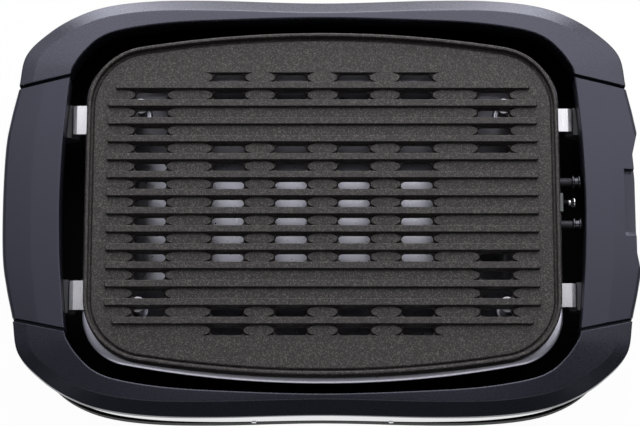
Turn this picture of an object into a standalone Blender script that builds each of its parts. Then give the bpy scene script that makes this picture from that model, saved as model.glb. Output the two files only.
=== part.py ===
"""Indoor electric grill: a moulded base with two rims and two handles, a bright drip pan hung in it on
four lugs, and a cast, ribbed and slotted grill plate that stands in the pan on four legs.

Metres, +Z up. +X runs to the plug side, +Y to the back. The origin lies on the table under the middle.
"""

import math

import bmesh
import bpy
from mathutils import Matrix, Vector

MM = 0.001
TURN = 2 * math.pi

# Clearances
GAP = 0.3 * MM
OVERRUN = 2 * MM
SINK = 0.6 * MM

# The whole body, which drives the rest
BODY_HALF_WIDTH = 240.5 * MM
BODY_HALF_DEPTH = 161.9 * MM
TOP_Z = 92 * MM

# Moulded rims and handles
HANDLE_TOP_WIDTH = 43.3 * MM
RIM_TOP_WIDTH = 16.7 * MM
HANDLE_FALL = 4 * MM
RIM_DIP = 4 * MM
RIM_EDGE_FALL = 13 * MM
SPLIT_DEPTH = 17 * MM
MOULD_WALL = 2.6 * MM
SEAM_GAP = 1.8 * MM
CREASE_WIDTH = 10.5 * MM
RIM_INNER_BAND_FALL = 0.5 * MM
EDGE_ROUND = 0.8 * MM
WELL_LIP_DROP = 5 * MM
RIM_SKIRT_ROOF = 1.2 * MM
HANDLE_SHOULDER = 2.2 * MM
HANDLE_SHOULDER_FALL = 1.8 * MM
HANDLE_SKIRT_DROP = 11 * MM
HANDLE_SKIRT_DRAFT = 0.8 * MM
HANDLE_WALL = 3 * MM

WELL_HALF_WIDTH = BODY_HALF_WIDTH - HANDLE_TOP_WIDTH
WELL_HALF_DEPTH = BODY_HALF_DEPTH - RIM_TOP_WIDTH
HANDLE_EDGE_Z = TOP_Z - HANDLE_FALL
RIM_INNER_LOW_Z = TOP_Z - RIM_DIP
RIM_EDGE_LOW_Z = TOP_Z - RIM_EDGE_FALL
SPLIT_Z = TOP_Z - SPLIT_DEPTH
WELL_LIP_BOTTOM_Z = SPLIT_Z - WELL_LIP_DROP
HANDLE_SKIRT_BOTTOM_Z = SPLIT_Z - HANDLE_SKIRT_DROP

# Base shell
GRIP_REACH = 20.5 * MM
BELT_PROUD = 1 * MM
BELT_DROP = 15.5 * MM
BELT_BAND = 14.5 * MM
BASE_BOTTOM_Z = 5 * MM
BASE_HEEL_RISE = 13 * MM
BASE_WALL = 2.6 * MM
BASE_FLOOR = 2.8 * MM
UPPER_WALL_INSET = 2.9 * MM
BELT_STEP_INSET = 1.7 * MM
BELT_LOW_INSET = 0.4 * MM
BASE_HEEL_INSET = 5 * MM
BASE_FOOT_INSET = 13 * MM
BASE_SOLE_INSET = 17 * MM
LEDGE_REACH = 12.6 * MM
LEDGE_THICKNESS = 2.6 * MM

BELT_HALF_WIDTH = BODY_HALF_WIDTH - GRIP_REACH
BELT_HALF_DEPTH = BODY_HALF_DEPTH + BELT_PROUD
BELT_TOP_Z = SPLIT_Z - BELT_DROP
BELT_LOW_Z = BELT_TOP_Z - BELT_BAND
BASE_HEEL_Z = BASE_BOTTOM_Z + BASE_HEEL_RISE
LEDGE_BOTTOM_Z = SPLIT_Z - LEDGE_THICKNESS

# Screws that join rims and handles to the base
SCREW_INSET = 8.8 * MM
SCREW_SHANK_RADIUS = 1.4 * MM
SCREW_HEAD_RADIUS = 2.8 * MM
SCREW_HEAD_HEIGHT = 1.8 * MM
SCREW_LENGTH = 5.5 * MM
BOSS_RADIUS = 4 * MM
HANDLE_SCREW_Y = 40 * MM
RAIL_WIDTH = 2 * (SCREW_INSET - UPPER_WALL_INSET)

# Plug port in the right-hand handle
PORT_CENTRE_Y = 2 * MM
PORT_HALF_WIDTH = 22 * MM
PORT_ROOF = 8 * MM
PORT_DROP = 8.5 * MM
PORT_PAD_DEPTH = 9 * MM
PORT_PAD_LAP = 2.3 * MM
PORT_FLAT_DEPTH = 5.3 * MM
PORT_PINCH_DEPTH = 6.8 * MM
PORT_FLAT_FRONT = 41 * MM
PORT_FLAT_BACK = 16 * MM
PORT_PINCH_BACK = 35 * MM
PORT_RUNOUT_FRONT = 41 * MM
PORT_RUNOUT_BACK = 38 * MM
PORT_PAD_MARGIN = 13 * MM
POCKET_DEPTH = 13.6 * MM
POCKET_CENTRE_Y = 1.6 * MM
POCKET_HALF_WIDTH = 24.2 * MM
POCKET_SINK = 2.6 * MM
POCKET_FLOOR = 1.2 * MM

PORT_TOP_Z = TOP_Z - PORT_ROOF
PORT_BOTTOM_Z = SPLIT_Z - PORT_DROP
PORT_PAD_X = BODY_HALF_WIDTH - PORT_PAD_DEPTH
PORT_FLAT_X = BODY_HALF_WIDTH - PORT_FLAT_DEPTH
PORT_PINCH_X = BODY_HALF_WIDTH - PORT_PINCH_DEPTH
PORT_FLAT_LOW_Y = PORT_CENTRE_Y - PORT_FLAT_FRONT
PORT_PINCH_Y = PORT_CENTRE_Y + PORT_PINCH_BACK
POCKET_X = BODY_HALF_WIDTH - POCKET_DEPTH
POCKET_FLOOR_Z = HANDLE_EDGE_Z - POCKET_SINK

# Front trim strip
TRIM_THICKNESS = 1.2 * MM
TRIM_HEIGHT = 15 * MM
TRIM_END_HEIGHT = 1.6 * MM

# Rubber feet
FOOT_SIDE_INSET = 60 * MM
FOOT_END_INSET = 56.9 * MM
FOOT_RADIUS = 9 * MM
FOOT_BEAD = 1.2 * MM
FOOT_PLUG_RADIUS = 3 * MM
FOOT_PLUG_HEIGHT = 3 * MM
FOOT_X = BELT_HALF_WIDTH - FOOT_SIDE_INSET
FOOT_Y = BELT_HALF_DEPTH - FOOT_END_INSET

# Drip pan
PAN_SIDE_ROOM = 16.6 * MM
PAN_END_ROOM = 10 * MM
PAN_RIM_DEPTH = 19.8 * MM
PAN_DEPTH = 34.2 * MM
PAN_SIDE_BOW = 0.4 * MM
PAN_END_BOW = 20.7 * MM
PAN_CORNER_RADIUS = 39 * MM
PAN_SHEET = 1 * MM
PAN_FLANGE = 9 * MM
PAN_BEAD_WIDTH = 1.8 * MM
PAN_BEAD_DROP = 2.2 * MM
PAN_BEAD_ROUND = 0.6 * MM
PAN_SIDE_SLOPE = 65.6 * MM
PAN_END_SLOPE = 79.6 * MM
PAN_FLOOR_BOW = 3 * MM
PAN_FLOOR_CORNER = 14 * MM

PAN_HALF_WIDTH = WELL_HALF_WIDTH - PAN_SIDE_ROOM
PAN_HALF_DEPTH = WELL_HALF_DEPTH - PAN_END_ROOM
PAN_RIM_Z = TOP_Z - PAN_RIM_DEPTH
PAN_FLOOR_Z = PAN_RIM_Z - PAN_DEPTH
PAN_FLOOR_HALF_WIDTH = PAN_HALF_WIDTH - PAN_SIDE_SLOPE
PAN_FLOOR_HALF_DEPTH = PAN_HALF_DEPTH - PAN_END_SLOPE

# Grill plate
PLATE_SIDE_INSET = 2.2 * MM
PLATE_END_INSET = 2.7 * MM
PLATE_FIELD_DEPTH = 4.5 * MM
PLATE_THICKNESS = 5 * MM
PLATE_SKIRT_DEPTH = 3.5 * MM
PLATE_SIDE_BOW = 0.6 * MM
PLATE_END_BOW = 18.6 * MM
PLATE_CORNER_RADIUS = 48.3 * MM
LIP_WIDTH = 2.8 * MM
LIP_ROUND = 0.7 * MM
LIP_DRAFT = 0.5 * MM
GROOVE_WIDTH = 2 * MM
GROOVE_DEPTH = 1.3 * MM
GROOVE_BANK = 1.2 * MM
SKIRT_WALL = 3.2 * MM

PLATE_HALF_WIDTH = PAN_HALF_WIDTH - PLATE_SIDE_INSET
PLATE_HALF_DEPTH = PAN_HALF_DEPTH - PLATE_END_INSET
PLATE_FIELD_Z = TOP_Z - PLATE_FIELD_DEPTH
PLATE_UNDERSIDE_Z = PLATE_FIELD_Z - PLATE_THICKNESS
PLATE_SKIRT_Z = PLATE_UNDERSIDE_Z - PLATE_SKIRT_DEPTH

# Ribs
RIB_COUNT = 14
RIB_FIELD_MARGIN = 34.5 * MM
RIB_WIDTH = 5 * MM
RIB_HEIGHT = 4 * MM
RIB_DRAFT = 0.4 * MM
RIB_END_MARGIN = 16.25 * MM
RIB_SHORTENING = 5.65 * MM
RIB_EDGE = 0.5 * MM
RIB_PITCH = (PLATE_HALF_DEPTH - RIB_FIELD_MARGIN) / (RIB_COUNT / 2)
RIB_HALF_LENGTH = PLATE_HALF_WIDTH - RIB_END_MARGIN

# Slots, each with its scoop. The columns are shares of a rib's half length
CENTRE_COLUMN_SHARES = (-0.4385, -0.1462, 0.1462, 0.4385)
SIDE_COLUMN_SHARE = 0.8
CENTRE_SLOT_GAPS = (0, 1, 4, 5, 6, 7, 8, 9, 10, 13, 14)
LEFT_SLOT_GAPS = tuple(range(1, RIB_COUNT))
RIGHT_SLOT_GAPS = (1, 2, 3, 4, 10, 11, 12, 13)
SLOT_BANK = 1.4 * MM
SCOOP_LAND = 12.4 * MM
SCOOP_RUN = 11 * MM
SCOOP_FISHTAIL = 8 * MM
SCOOP_DEPTH = 2.4 * MM
SCOOP_MARGIN = 0.2 * MM
SLOT_SPACING = (CENTRE_COLUMN_SHARES[1] - CENTRE_COLUMN_SHARES[0]) * RIB_HALF_LENGTH
SLOT_WIDTH = RIB_PITCH - RIB_WIDTH - 2 * SLOT_BANK
SCOOP_LENGTH = SLOT_SPACING - SCOOP_LAND
SCOOP_TIP_LENGTH = SCOOP_LENGTH - SCOOP_FISHTAIL
SLOT_LENGTH = SCOOP_LENGTH - SCOOP_RUN

# Heating element and its terminals
ELEMENT_RADIUS = 3.3 * MM
ELEMENT_DROP = 2.7 * MM
ELEMENT_SIDE_INSET = 78.4 * MM
ELEMENT_END_RIBS = 2
ELEMENT_BEND = 13 * MM
ELEMENT_LEAD_ROOM = 0.6 * MM
RIDGE_WIDTH = 11 * MM
RIDGE_DROP = 3 * MM
TERMINAL_HALF_SPACING = 16.6 * MM
PIN_RADIUS = 2.2 * MM
PIN_END_ROOM = 1.6 * MM
PIN_TIP = 0.8 * MM
COLLAR_LENGTH = 5.9 * MM
COLLAR_RADIUS = 5.2 * MM
COLLAR_WAIST_RADIUS = 3.9 * MM
COLLAR_FLANGE = 1.3 * MM

ELEMENT_Z = PLATE_SKIRT_Z - ELEMENT_DROP
ELEMENT_RUN_X = PLATE_HALF_WIDTH - ELEMENT_SIDE_INSET
ELEMENT_RUN_Y = (RIB_COUNT / 2 - ELEMENT_END_RIBS - 1 / 2) * RIB_PITCH
ELEMENT_LEAD_X = PLATE_HALF_WIDTH - SKIRT_WALL - ELEMENT_LEAD_ROOM
PIN_BACK_Y = PORT_CENTRE_Y + TERMINAL_HALF_SPACING
PIN_FRONT_Y = PORT_CENTRE_Y - TERMINAL_HALF_SPACING
PIN_END_X = WELL_HALF_WIDTH - PIN_END_ROOM
COLLAR_X = PIN_END_X - PIN_TIP - COLLAR_LENGTH

# Probe block and sleeve between the terminals
PROBE_SHIFT = 0.4 * MM
BLOCK_LENGTH = 7 * MM
BLOCK_WIDTH = 14.8 * MM
BLOCK_HEIGHT = 6.4 * MM
SLEEVE_RADIUS = 2.6 * MM
SLEEVE_BORE = 1.8 * MM
SLEEVE_MOUTH_RADIUS = 4.8 * MM
SLEEVE_MOUTH_LENGTH = 2.4 * MM
SLEEVE_END_ROOM = 6.6 * MM
PROBE_Y = PORT_CENTRE_Y + PROBE_SHIFT
SLEEVE_END_X = WELL_HALF_WIDTH - SLEEVE_END_ROOM

# Legs of the plate, and the seats for them that are pressed up in the pan
LEG_SIDE_INSET = 40.4 * MM
LEG_END_INSET = 55.5 * MM
LEG_PAD_RADIUS = 6 * MM
LEG_PAD_HEIGHT = 2.5 * MM
LEG_ROOT_RADIUS = 4.4 * MM
LEG_TIP_RADIUS = 3.8 * MM
LEG_SPIGOT_RADIUS = 2.5 * MM
LEG_SPIGOT_HEIGHT = 2.4 * MM
SEAT_RADIUS = 6.6 * MM
SEAT_RISE = 5.5 * MM
SEAT_ROOT = 5.9 * MM
SEAT_CUP_RADIUS = 4.8 * MM
SEAT_CUP_DEPTH = 1.2 * MM
LEG_X = PLATE_HALF_WIDTH - LEG_SIDE_INSET
LEG_Y = PLATE_HALF_DEPTH - LEG_END_INSET
SEAT_SLOPE_SHARE = max(
    (LEG_X - PAN_FLOOR_HALF_WIDTH) / (PAN_SIDE_SLOPE - PAN_FLANGE),
    (LEG_Y - PAN_FLOOR_HALF_DEPTH) / (PAN_END_SLOPE - PAN_FLANGE),
)
SEAT_GROUND_Z = PAN_FLOOR_Z + PAN_DEPTH * SEAT_SLOPE_SHARE
SEAT_TOP_Z = SEAT_GROUND_Z + SEAT_RISE
SEAT_BOTTOM_Z = SEAT_GROUND_Z - SEAT_ROOT

# Lugs that hang the pan, and the moulded rests that take them
LUG_END_INSET = 66.9 * MM
LUG_WIDTH_LEFT = 22.5 * MM
LUG_WIDTH_RIGHT = 18.2 * MM
LUG_SHEET = 1.2 * MM
LUG_OVERLAP = 9.1 * MM
LUG_BEND_ROOM = 10 * MM
LUG_LEAN = 3.4 * MM
LUG_FOLD_DROP = 1.8 * MM
LUG_DROP = 7.4 * MM
RIVET_INSET = 5.4 * MM
RIVET_SPACING = 10 * MM
RIVET_SHANK_RADIUS = 1.3 * MM
RIVET_HEAD_RADIUS = 2.2 * MM
RIVET_HEAD_HEIGHT = 1 * MM
REST_NOSE = 5.1 * MM
REST_NOSE_DEPTH = 6 * MM
REST_MARGIN = 1.6 * MM
REST_HEIGHT = 21.7 * MM
REST_FOOT_DEPTH = 10 * MM
LUG_Y = PAN_HALF_DEPTH - LUG_END_INSET
LUG_INNER_X = PAN_HALF_WIDTH - LUG_OVERLAP
LUG_BEND_X = WELL_HALF_WIDTH - LUG_BEND_ROOM
LUG_END_X = LUG_BEND_X + LUG_LEAN
LUG_TOP_Z = PAN_RIM_Z + GAP + LUG_SHEET
LUG_END_Z = LUG_TOP_Z - LUG_DROP
RIVET_X = PAN_HALF_WIDTH - RIVET_INSET
REST_INNER_X = LUG_END_X - REST_NOSE
REST_TOP_Z = WELL_LIP_BOTTOM_Z - GAP
REST_BOTTOM_Z = REST_TOP_Z - REST_HEIGHT

# Smoothness
ROUND_STEPS = 12
SCREW_STEPS = 8
CORNER_STEPS = 6
END_STEPS = 4
BASE_STEPS = 48
HANDLE_STEPS = 10
TRIM_REACH_STEPS = 6
TUBE_SIDES = 8
BEND_STEPS = 3

# Outlines of one quarter, from the middle of the side to the middle of the back, as shares of the half
# width and half depth. The three lists run side by side: entry SEAM_STEPS is where rim meets handle.
SEAM_STEPS = 3
QUARTER_STEPS = 10
BODY_SHARES = (
    (1.0, 0.0),
    (0.9954, 0.259),
    (0.9805, 0.408),
    (0.9588, 0.554),
    (0.9385, 0.713),
    (0.8649, 0.831),
    (0.7775, 0.914),
    (0.6778, 0.966),
    (0.5322, 0.9945),
    (0.3326, 1.0),
    (0.0, 0.9895),
)
WELL_SHARES = (
    (1.0, 0.0),
    (0.994, 0.296),
    (0.9853, 0.4545),
    (0.9696, 0.677),
    (0.952, 0.743),
    (0.9128, 0.817),
    (0.857, 0.885),
    (0.7759, 0.9284),
    (0.6136, 0.965),
    (0.4057, 0.9842),
    (0.0, 1.0),
)
SCREW_STATION_SHARES = (-0.8, 0, 0.8)
BELT_SHARES = (
    (1.0, 0.0),
    (0.9982, 0.276),
    (0.9955, 0.46),
    (0.9891, 0.5955),
    (0.9736, 0.7182),
    (0.9364, 0.8072),
    (0.8545, 0.9012),
    (0.7409, 0.9638),
    (0.5818, 0.9939),
    (0.3636, 1.0),
    (0.0, 0.9896),
)


def clear_scene():
    for obj in list(bpy.data.objects):
        bpy.data.objects.remove(obj, do_unlink=True)


def finish(name, colour, roughness, metallic=0.0):
    """A plain material with the piece's colour, roughness and metallic value."""
    material = bpy.data.materials.new(name)
    material.use_nodes = True
    shader = material.node_tree.nodes["Principled BSDF"]
    shader.inputs["Base Color"].default_value = (*colour, 1.0)
    shader.inputs["Roughness"].default_value = roughness
    shader.inputs["Metallic"].default_value = metallic
    material.diffuse_color = (*colour, 1.0)
    return material


def piece(name, mesh, material, carrier=None, smooth_angle=35.0):
    """Makes the mesh an object, closed and facing out, carried by an empty if one is given."""
    bmesh.ops.remove_doubles(mesh, verts=mesh.verts, dist=MM / 1000)
    bmesh.ops.recalc_face_normals(mesh, faces=mesh.faces)
    data = bpy.data.meshes.new(name)
    mesh.to_mesh(data)
    mesh.free()
    data.materials.append(material)
    data.shade_smooth()
    data.set_sharp_from_angle(angle=math.radians(smooth_angle))
    obj = bpy.data.objects.new(name, data)
    bpy.context.collection.objects.link(obj)
    if carrier is not None:
        obj.parent = carrier
        obj.location = -carrier.location
    return obj


def tool(name, mesh):
    """A cutter or a body to be joined, kept out of the part itself."""
    bmesh.ops.recalc_face_normals(mesh, faces=mesh.faces)
    data = bpy.data.meshes.new(name)
    mesh.to_mesh(data)
    mesh.free()
    obj = bpy.data.objects.new(name, data)
    bpy.context.collection.objects.link(obj)
    obj.hide_render = True
    obj.display_type = "WIRE"
    return obj


def combine(obj, other, operation):
    modifier = obj.modifiers.new(other.name, "BOOLEAN")
    modifier.operation = operation
    modifier.solver = "EXACT"
    modifier.object = other


def carrier(name, height):
    """An empty on the axis along which its pieces lift out."""
    empty = bpy.data.objects.new(name, None)
    empty.location = (0, 0, height)
    bpy.context.collection.objects.link(empty)
    return empty


def loft(mesh, sections, closed=False):
    """Joins equal sections, lists of points, into one skin, capped at both ends unless it closes."""
    rows = [[mesh.verts.new(point) for point in section] for section in sections]
    count = len(rows[0])
    pairs = list(zip(rows, rows[1:]))
    if closed:
        pairs.append((rows[-1], rows[0]))
    for one, two in pairs:
        for i in range(count):
            j = (i + 1) % count
            mesh.faces.new((one[i], one[j], two[j], two[i]))
    if not closed:
        mesh.faces.new(rows[0])
        mesh.faces.new(rows[-1])


def bowl(mesh, rings):
    """Stacks closed rings of points into one skin and caps the first and the last."""
    loft(mesh, rings)


def turned(mesh, profile, matrix, steps, closed=False):
    """Spins a profile of (radius, height) about local Z, then places it by the matrix."""
    verts = [mesh.verts.new((radius, 0, height)) for radius, height in profile]
    edges = [mesh.edges.new(pair) for pair in zip(verts, verts[1:])]
    if closed:
        edges.append(mesh.edges.new((verts[-1], verts[0])))
    bmesh.ops.spin(
        mesh, geom=verts + edges, cent=(0, 0, 0), axis=(0, 0, 1), angle=TURN, steps=steps, use_merge=True
    )
    fresh = [vert for vert in mesh.verts if not vert.tag]
    bmesh.ops.remove_doubles(mesh, verts=fresh, dist=MM / 1000)
    fresh = [vert for vert in mesh.verts if not vert.tag]
    bmesh.ops.transform(mesh, matrix=matrix, verts=fresh)
    for vert in fresh:
        vert.tag = True


def at(x, y, z):
    return Matrix.Translation((x, y, z))


def along_x(x, y, z):
    """Places a turned piece with its axis along +X."""
    return at(x, y, z) @ Matrix.Rotation(TURN / 4, 4, "Y")


def prism(mesh, profile, low_y, high_y):
    """Extrudes a profile of (x, z) points from low_y to high_y."""
    loft(mesh, [[Vector((x, y, z)) for x, z in profile] for y in (low_y, high_y)])


def block(mesh, low, high):
    prism(
        mesh,
        [(low[0], low[2]), (high[0], low[2]), (high[0], high[2]), (low[0], high[2])],
        low[1],
        high[1],
    )


def around(shares, half_width, half_depth):
    """The closed outline of one quarter's shares, mirrored into all four quarters."""
    quarter = [Vector((x * half_width, y * half_depth)) for x, y in shares]
    back_left = [Vector((-p.x, p.y)) for p in reversed(quarter[:-1])]
    half = quarter + back_left
    return half + [Vector((p.x, -p.y)) for p in reversed(half[1:-1])]


def point_on(outline, station):
    """A point of the smooth curve through the outline, at a whole or broken station number."""
    whole = math.floor(station)
    t = station - whole
    a, b, c, d = (outline[(whole + i) % len(outline)] for i in (-1, 0, 1, 2))
    return 0.5 * (2 * b + (c - a) * t + (2 * a - 5 * b + 4 * c - d) * t**2 + (3 * b - a - 3 * c + d) * t**3)


def tangent_on(outline, station):
    step = 0.01
    return (point_on(outline, station + step) - point_on(outline, station - step)).normalized()


def outward_on(outline, station):
    tangent = tangent_on(outline, station)
    return Vector((tangent.y, -tangent.x))


BODY = around(BODY_SHARES, BODY_HALF_WIDTH, BODY_HALF_DEPTH)
WELL = around(WELL_SHARES, WELL_HALF_WIDTH, WELL_HALF_DEPTH)
BELT = around(BELT_SHARES, BELT_HALF_WIDTH, BELT_HALF_DEPTH)
BACK_MIDDLE = QUARTER_STEPS
FRONT_MIDDLE = 3 * QUARTER_STEPS
BASE_STEP = 4 * QUARTER_STEPS / BASE_STEPS


def inset_belt(station, inset):
    return point_on(BELT, station) - inset * outward_on(BELT, station)


def bowed_outline(half_width, half_depth, side_bow, end_bow, corner):
    """Points and outward normals of a plan with bowed sides, bowed ends and round corners.

    A circle of radius corner touches the side's arc and the end's arc from inside.
    """
    side_radius = (half_depth**2 + side_bow**2) / (2 * side_bow)
    end_radius = (half_width**2 + end_bow**2) / (2 * end_bow)
    side_centre = Vector((half_width - side_radius, 0))
    end_centre = Vector((0, half_depth - end_radius))
    reach_side = side_radius - corner
    reach_end = end_radius - corner
    between = end_centre - side_centre
    span = between.length
    near = (reach_side**2 - reach_end**2 + span**2) / (2 * span)
    rise = math.sqrt(reach_side**2 - near**2)
    unit = between / span
    candidates = [side_centre + near * unit + s * rise * Vector((-unit.y, unit.x)) for s in (1, -1)]
    corner_centre = max(candidates, key=lambda p: p.x + p.y)
    side_angle = math.atan2(*(corner_centre - side_centre).yx)
    end_angle = math.atan2(*(corner_centre - end_centre).yx)
    quarter = []
    for centre, radius, start, stop, steps in (
        (side_centre, side_radius, 0, side_angle, 1),
        (corner_centre, corner, side_angle, end_angle, CORNER_STEPS),
        (end_centre, end_radius, end_angle, TURN / 4, END_STEPS),
    ):
        for i in range(steps):
            angle = start + (stop - start) * i / steps
            normal = Vector((math.cos(angle), math.sin(angle)))
            quarter.append((centre + radius * normal, normal))
    top = (end_centre + Vector((0, end_radius)), Vector((0, 1)))
    quarter.append(top)
    mirrored = [(Vector((-p.x, p.y)), Vector((-n.x, n.y))) for p, n in reversed(quarter[:-1])]
    half = quarter + mirrored
    return half + [(Vector((p.x, -p.y)), Vector((n.x, -n.y))) for p, n in reversed(half[1:-1])]


def ring(outline, inset, z):
    return [Vector((*(p - inset * n), z)) for p, n in outline]


def bent_path(corners, bend):
    """A path in plan through the corners, with each inner corner rounded to the bend radius."""
    path = [corners[0]]
    for before, corner, after in zip(corners, corners[1:], corners[2:]):
        into = (corner - before).normalized()
        out = (after - corner).normalized()
        centre = corner + bend * (out - into)
        for i in range(BEND_STEPS + 1):
            angle = TURN / 4 * i / BEND_STEPS
            path.append(centre - bend * math.cos(angle) * out + bend * math.sin(angle) * into)
    path.append(corners[-1])
    return path


def swept(mesh, path, profile):
    """Sweeps a profile of (sideways, z) points along a path in plan."""
    sections = []
    for i, point in enumerate(path):
        ahead = path[min(i + 1, len(path) - 1)] - point
        behind = point - path[max(i - 1, 0)]
        direction = (ahead.normalized() + behind.normalized()).normalized()
        side = Vector((-direction.y, direction.x))
        sections.append([Vector((*(point + across * side), z)) for across, z in profile])
    loft(mesh, sections)


# Rims and handles


def stations_between(first, last, steps):
    return [first + (last - first) * i / steps for i in range(steps + 1)]


def seam_shift(outline, station, first, last):
    """A point of the outline, drawn back from the seam by half its gap at either end."""
    point = point_on(outline, station)
    tangent = tangent_on(outline, station)
    if station == first:
        return point + SEAM_GAP / 2 * tangent
    if station == last:
        return point - SEAM_GAP / 2 * tangent
    return point


def height_along(low, high, x, reach):
    """Rims dip in the middle and rise to the handles' level at the seams."""
    return low + (high - low) * min(1.0, (x / reach) ** 2)


def raised(point, z):
    return Vector((*point, z))


def rim_line(station, first, last):
    """The points and heights that one section of a rim is drawn from."""
    outer = seam_shift(BODY, station, first, last)
    inner = seam_shift(WELL, station, first, last)
    seam_outer = point_on(BODY, SEAM_STEPS).x
    seam_inner = point_on(WELL, SEAM_STEPS).x
    edge_z = height_along(RIM_EDGE_LOW_Z, HANDLE_EDGE_Z, outer.x, seam_outer)
    inner_z = height_along(RIM_INNER_LOW_Z, TOP_Z, inner.x, seam_inner)
    return outer, inner, (inner - outer).normalized(), edge_z, inner_z


def rim_sections(first, last, steps):
    sections = []
    for station in stations_between(first, last, steps):
        outer, inner, across, edge_z, inner_z = rim_line(station, first, last)
        crease = outer + CREASE_WIDTH * across
        skirt = outer + MOULD_WALL * across
        lip = inner - MOULD_WALL * across
        crease_z = inner_z - RIM_INNER_BAND_FALL
        sections.append(
            [
                raised(outer, SPLIT_Z + GAP),
                raised(outer, edge_z),
                raised(crease, crease_z),
                raised(inner - EDGE_ROUND * across, inner_z),
                raised(inner, inner_z - EDGE_ROUND),
                raised(inner, WELL_LIP_BOTTOM_Z),
                raised(lip, WELL_LIP_BOTTOM_Z),
                raised(lip, crease_z - MOULD_WALL),
                raised(skirt, edge_z - RIM_SKIRT_ROOF),
                raised(skirt, SPLIT_Z + GAP),
            ]
        )
    return sections


def add_rim_boss(mesh, station, place, first, last):
    """A round boss from the split up into the sloping wall of the rim, which its top follows."""
    outer, inner, across, edge_z, inner_z = rim_line(station, first, last)
    crease_z = inner_z - RIM_INNER_BAND_FALL
    span = (inner - outer).length - 2 * MOULD_WALL
    foot = []
    top = []
    for i in range(SCREW_STEPS):
        angle = TURN * i / SCREW_STEPS
        point = place + BOSS_RADIUS * Vector((math.cos(angle), math.sin(angle)))
        inside = (point - outer).dot(across)
        over = edge_z + (crease_z - edge_z) * min(1.0, inside / CREASE_WIDTH)
        rise = crease_z - MOULD_WALL - edge_z + RIM_SKIRT_ROOF
        under = edge_z - RIM_SKIRT_ROOF + rise * (inside - MOULD_WALL) / span
        foot.append(raised(point, SPLIT_Z + GAP))
        top.append(raised(point, (over + under) / 2))
    loft(mesh, [foot, top])


def screw_stations(middle):
    return [middle + share * SEAM_STEPS for share in SCREW_STATION_SHARES]


def screw_places(middle):
    """Where a rim's screws stand in the base's ledge."""
    return [inset_belt(station, SCREW_INSET) for station in screw_stations(middle)]


def make_rim(name, middle, material):
    mesh = bmesh.new()
    reach = QUARTER_STEPS - SEAM_STEPS
    ends = (middle - reach, middle + reach)
    loft(mesh, rim_sections(*ends, 3 * reach))
    rim = piece(name, mesh, material)
    bosses = bmesh.new()
    bores = bmesh.new()
    for station, place in zip(screw_stations(middle), screw_places(middle)):
        add_rim_boss(bosses, station, place, *ends)
        add_bore(bores, place)
    combine(rim, tool(f"{name}_bosses", bosses), "UNION")
    combine(rim, tool(f"{name}_bores", bores), "DIFFERENCE")
    return rim


def add_bore(mesh, place):
    """The hole for one body screw, through the ledge and up into the piece above."""
    radius = SCREW_SHANK_RADIUS + GAP
    top = LEDGE_BOTTOM_Z + SCREW_LENGTH + GAP
    low = LEDGE_BOTTOM_Z - OVERRUN
    turned(mesh, [(0, top), (radius, top), (radius, low), (0, low)], at(*place, 0), SCREW_STEPS)


def handle_sections(first, last, steps):
    sections = []
    for station in stations_between(first, last, steps):
        outer = seam_shift(BODY, station, first, last)
        inner = seam_shift(WELL, station, first, last)
        across = (outer - inner).normalized()
        width = (outer - inner).length
        rail_far = abs(point_on(BELT, station).x) - UPPER_WALL_INSET
        rail_out = inner + (rail_far - abs(inner.x)) / abs(across.x) * across
        rail_in = rail_out - RAIL_WIDTH * across
        slope = (HANDLE_EDGE_Z - TOP_Z) / width

        def under(point):
            return TOP_Z + slope * (point - inner).length - HANDLE_WALL

        skirt_in = outer - HANDLE_WALL * across
        foot_out = outer - HANDLE_SKIRT_DRAFT * across
        foot_in = foot_out - HANDLE_WALL * across
        lip = inner + MOULD_WALL * across
        sections.append(
            [
                raised(inner, WELL_LIP_BOTTOM_Z),
                raised(inner, TOP_Z - EDGE_ROUND),
                raised(inner + EDGE_ROUND * across, TOP_Z),
                raised(outer - HANDLE_SHOULDER * across, HANDLE_EDGE_Z),
                raised(outer, HANDLE_EDGE_Z - HANDLE_SHOULDER_FALL),
                raised(foot_out, HANDLE_SKIRT_BOTTOM_Z),
                raised(foot_in, HANDLE_SKIRT_BOTTOM_Z),
                raised(skirt_in, under(skirt_in)),
                raised(rail_out, under(rail_out)),
                raised(rail_out, SPLIT_Z + GAP),
                raised(rail_in, SPLIT_Z + GAP),
                raised(rail_in, under(rail_in)),
                raised(lip, under(lip)),
                raised(lip, WELL_LIP_BOTTOM_Z),
            ]
        )
    return sections


def handle_screw_places(side):
    station = 0 if side > 0 else 2 * QUARTER_STEPS
    x = abs(inset_belt(station, SCREW_INSET).x)
    return [Vector((side * x, y)) for y in (-HANDLE_SCREW_Y, HANDLE_SCREW_Y)]


def make_handle(name, side, material):
    """One handle, from seam to seam round the end of the body. The side is +1 or -1."""
    middle = 0 if side > 0 else 2 * QUARTER_STEPS
    mesh = bmesh.new()
    loft(mesh, handle_sections(middle - SEAM_STEPS, middle + SEAM_STEPS, HANDLE_STEPS))
    handle = piece(name, mesh, material)
    if side > 0:
        add_plug_port(handle)
    bores = bmesh.new()
    for place in handle_screw_places(side):
        add_bore(bores, place)
    combine(handle, tool(f"{name}_bores", bores), "DIFFERENCE")
    return handle


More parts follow.
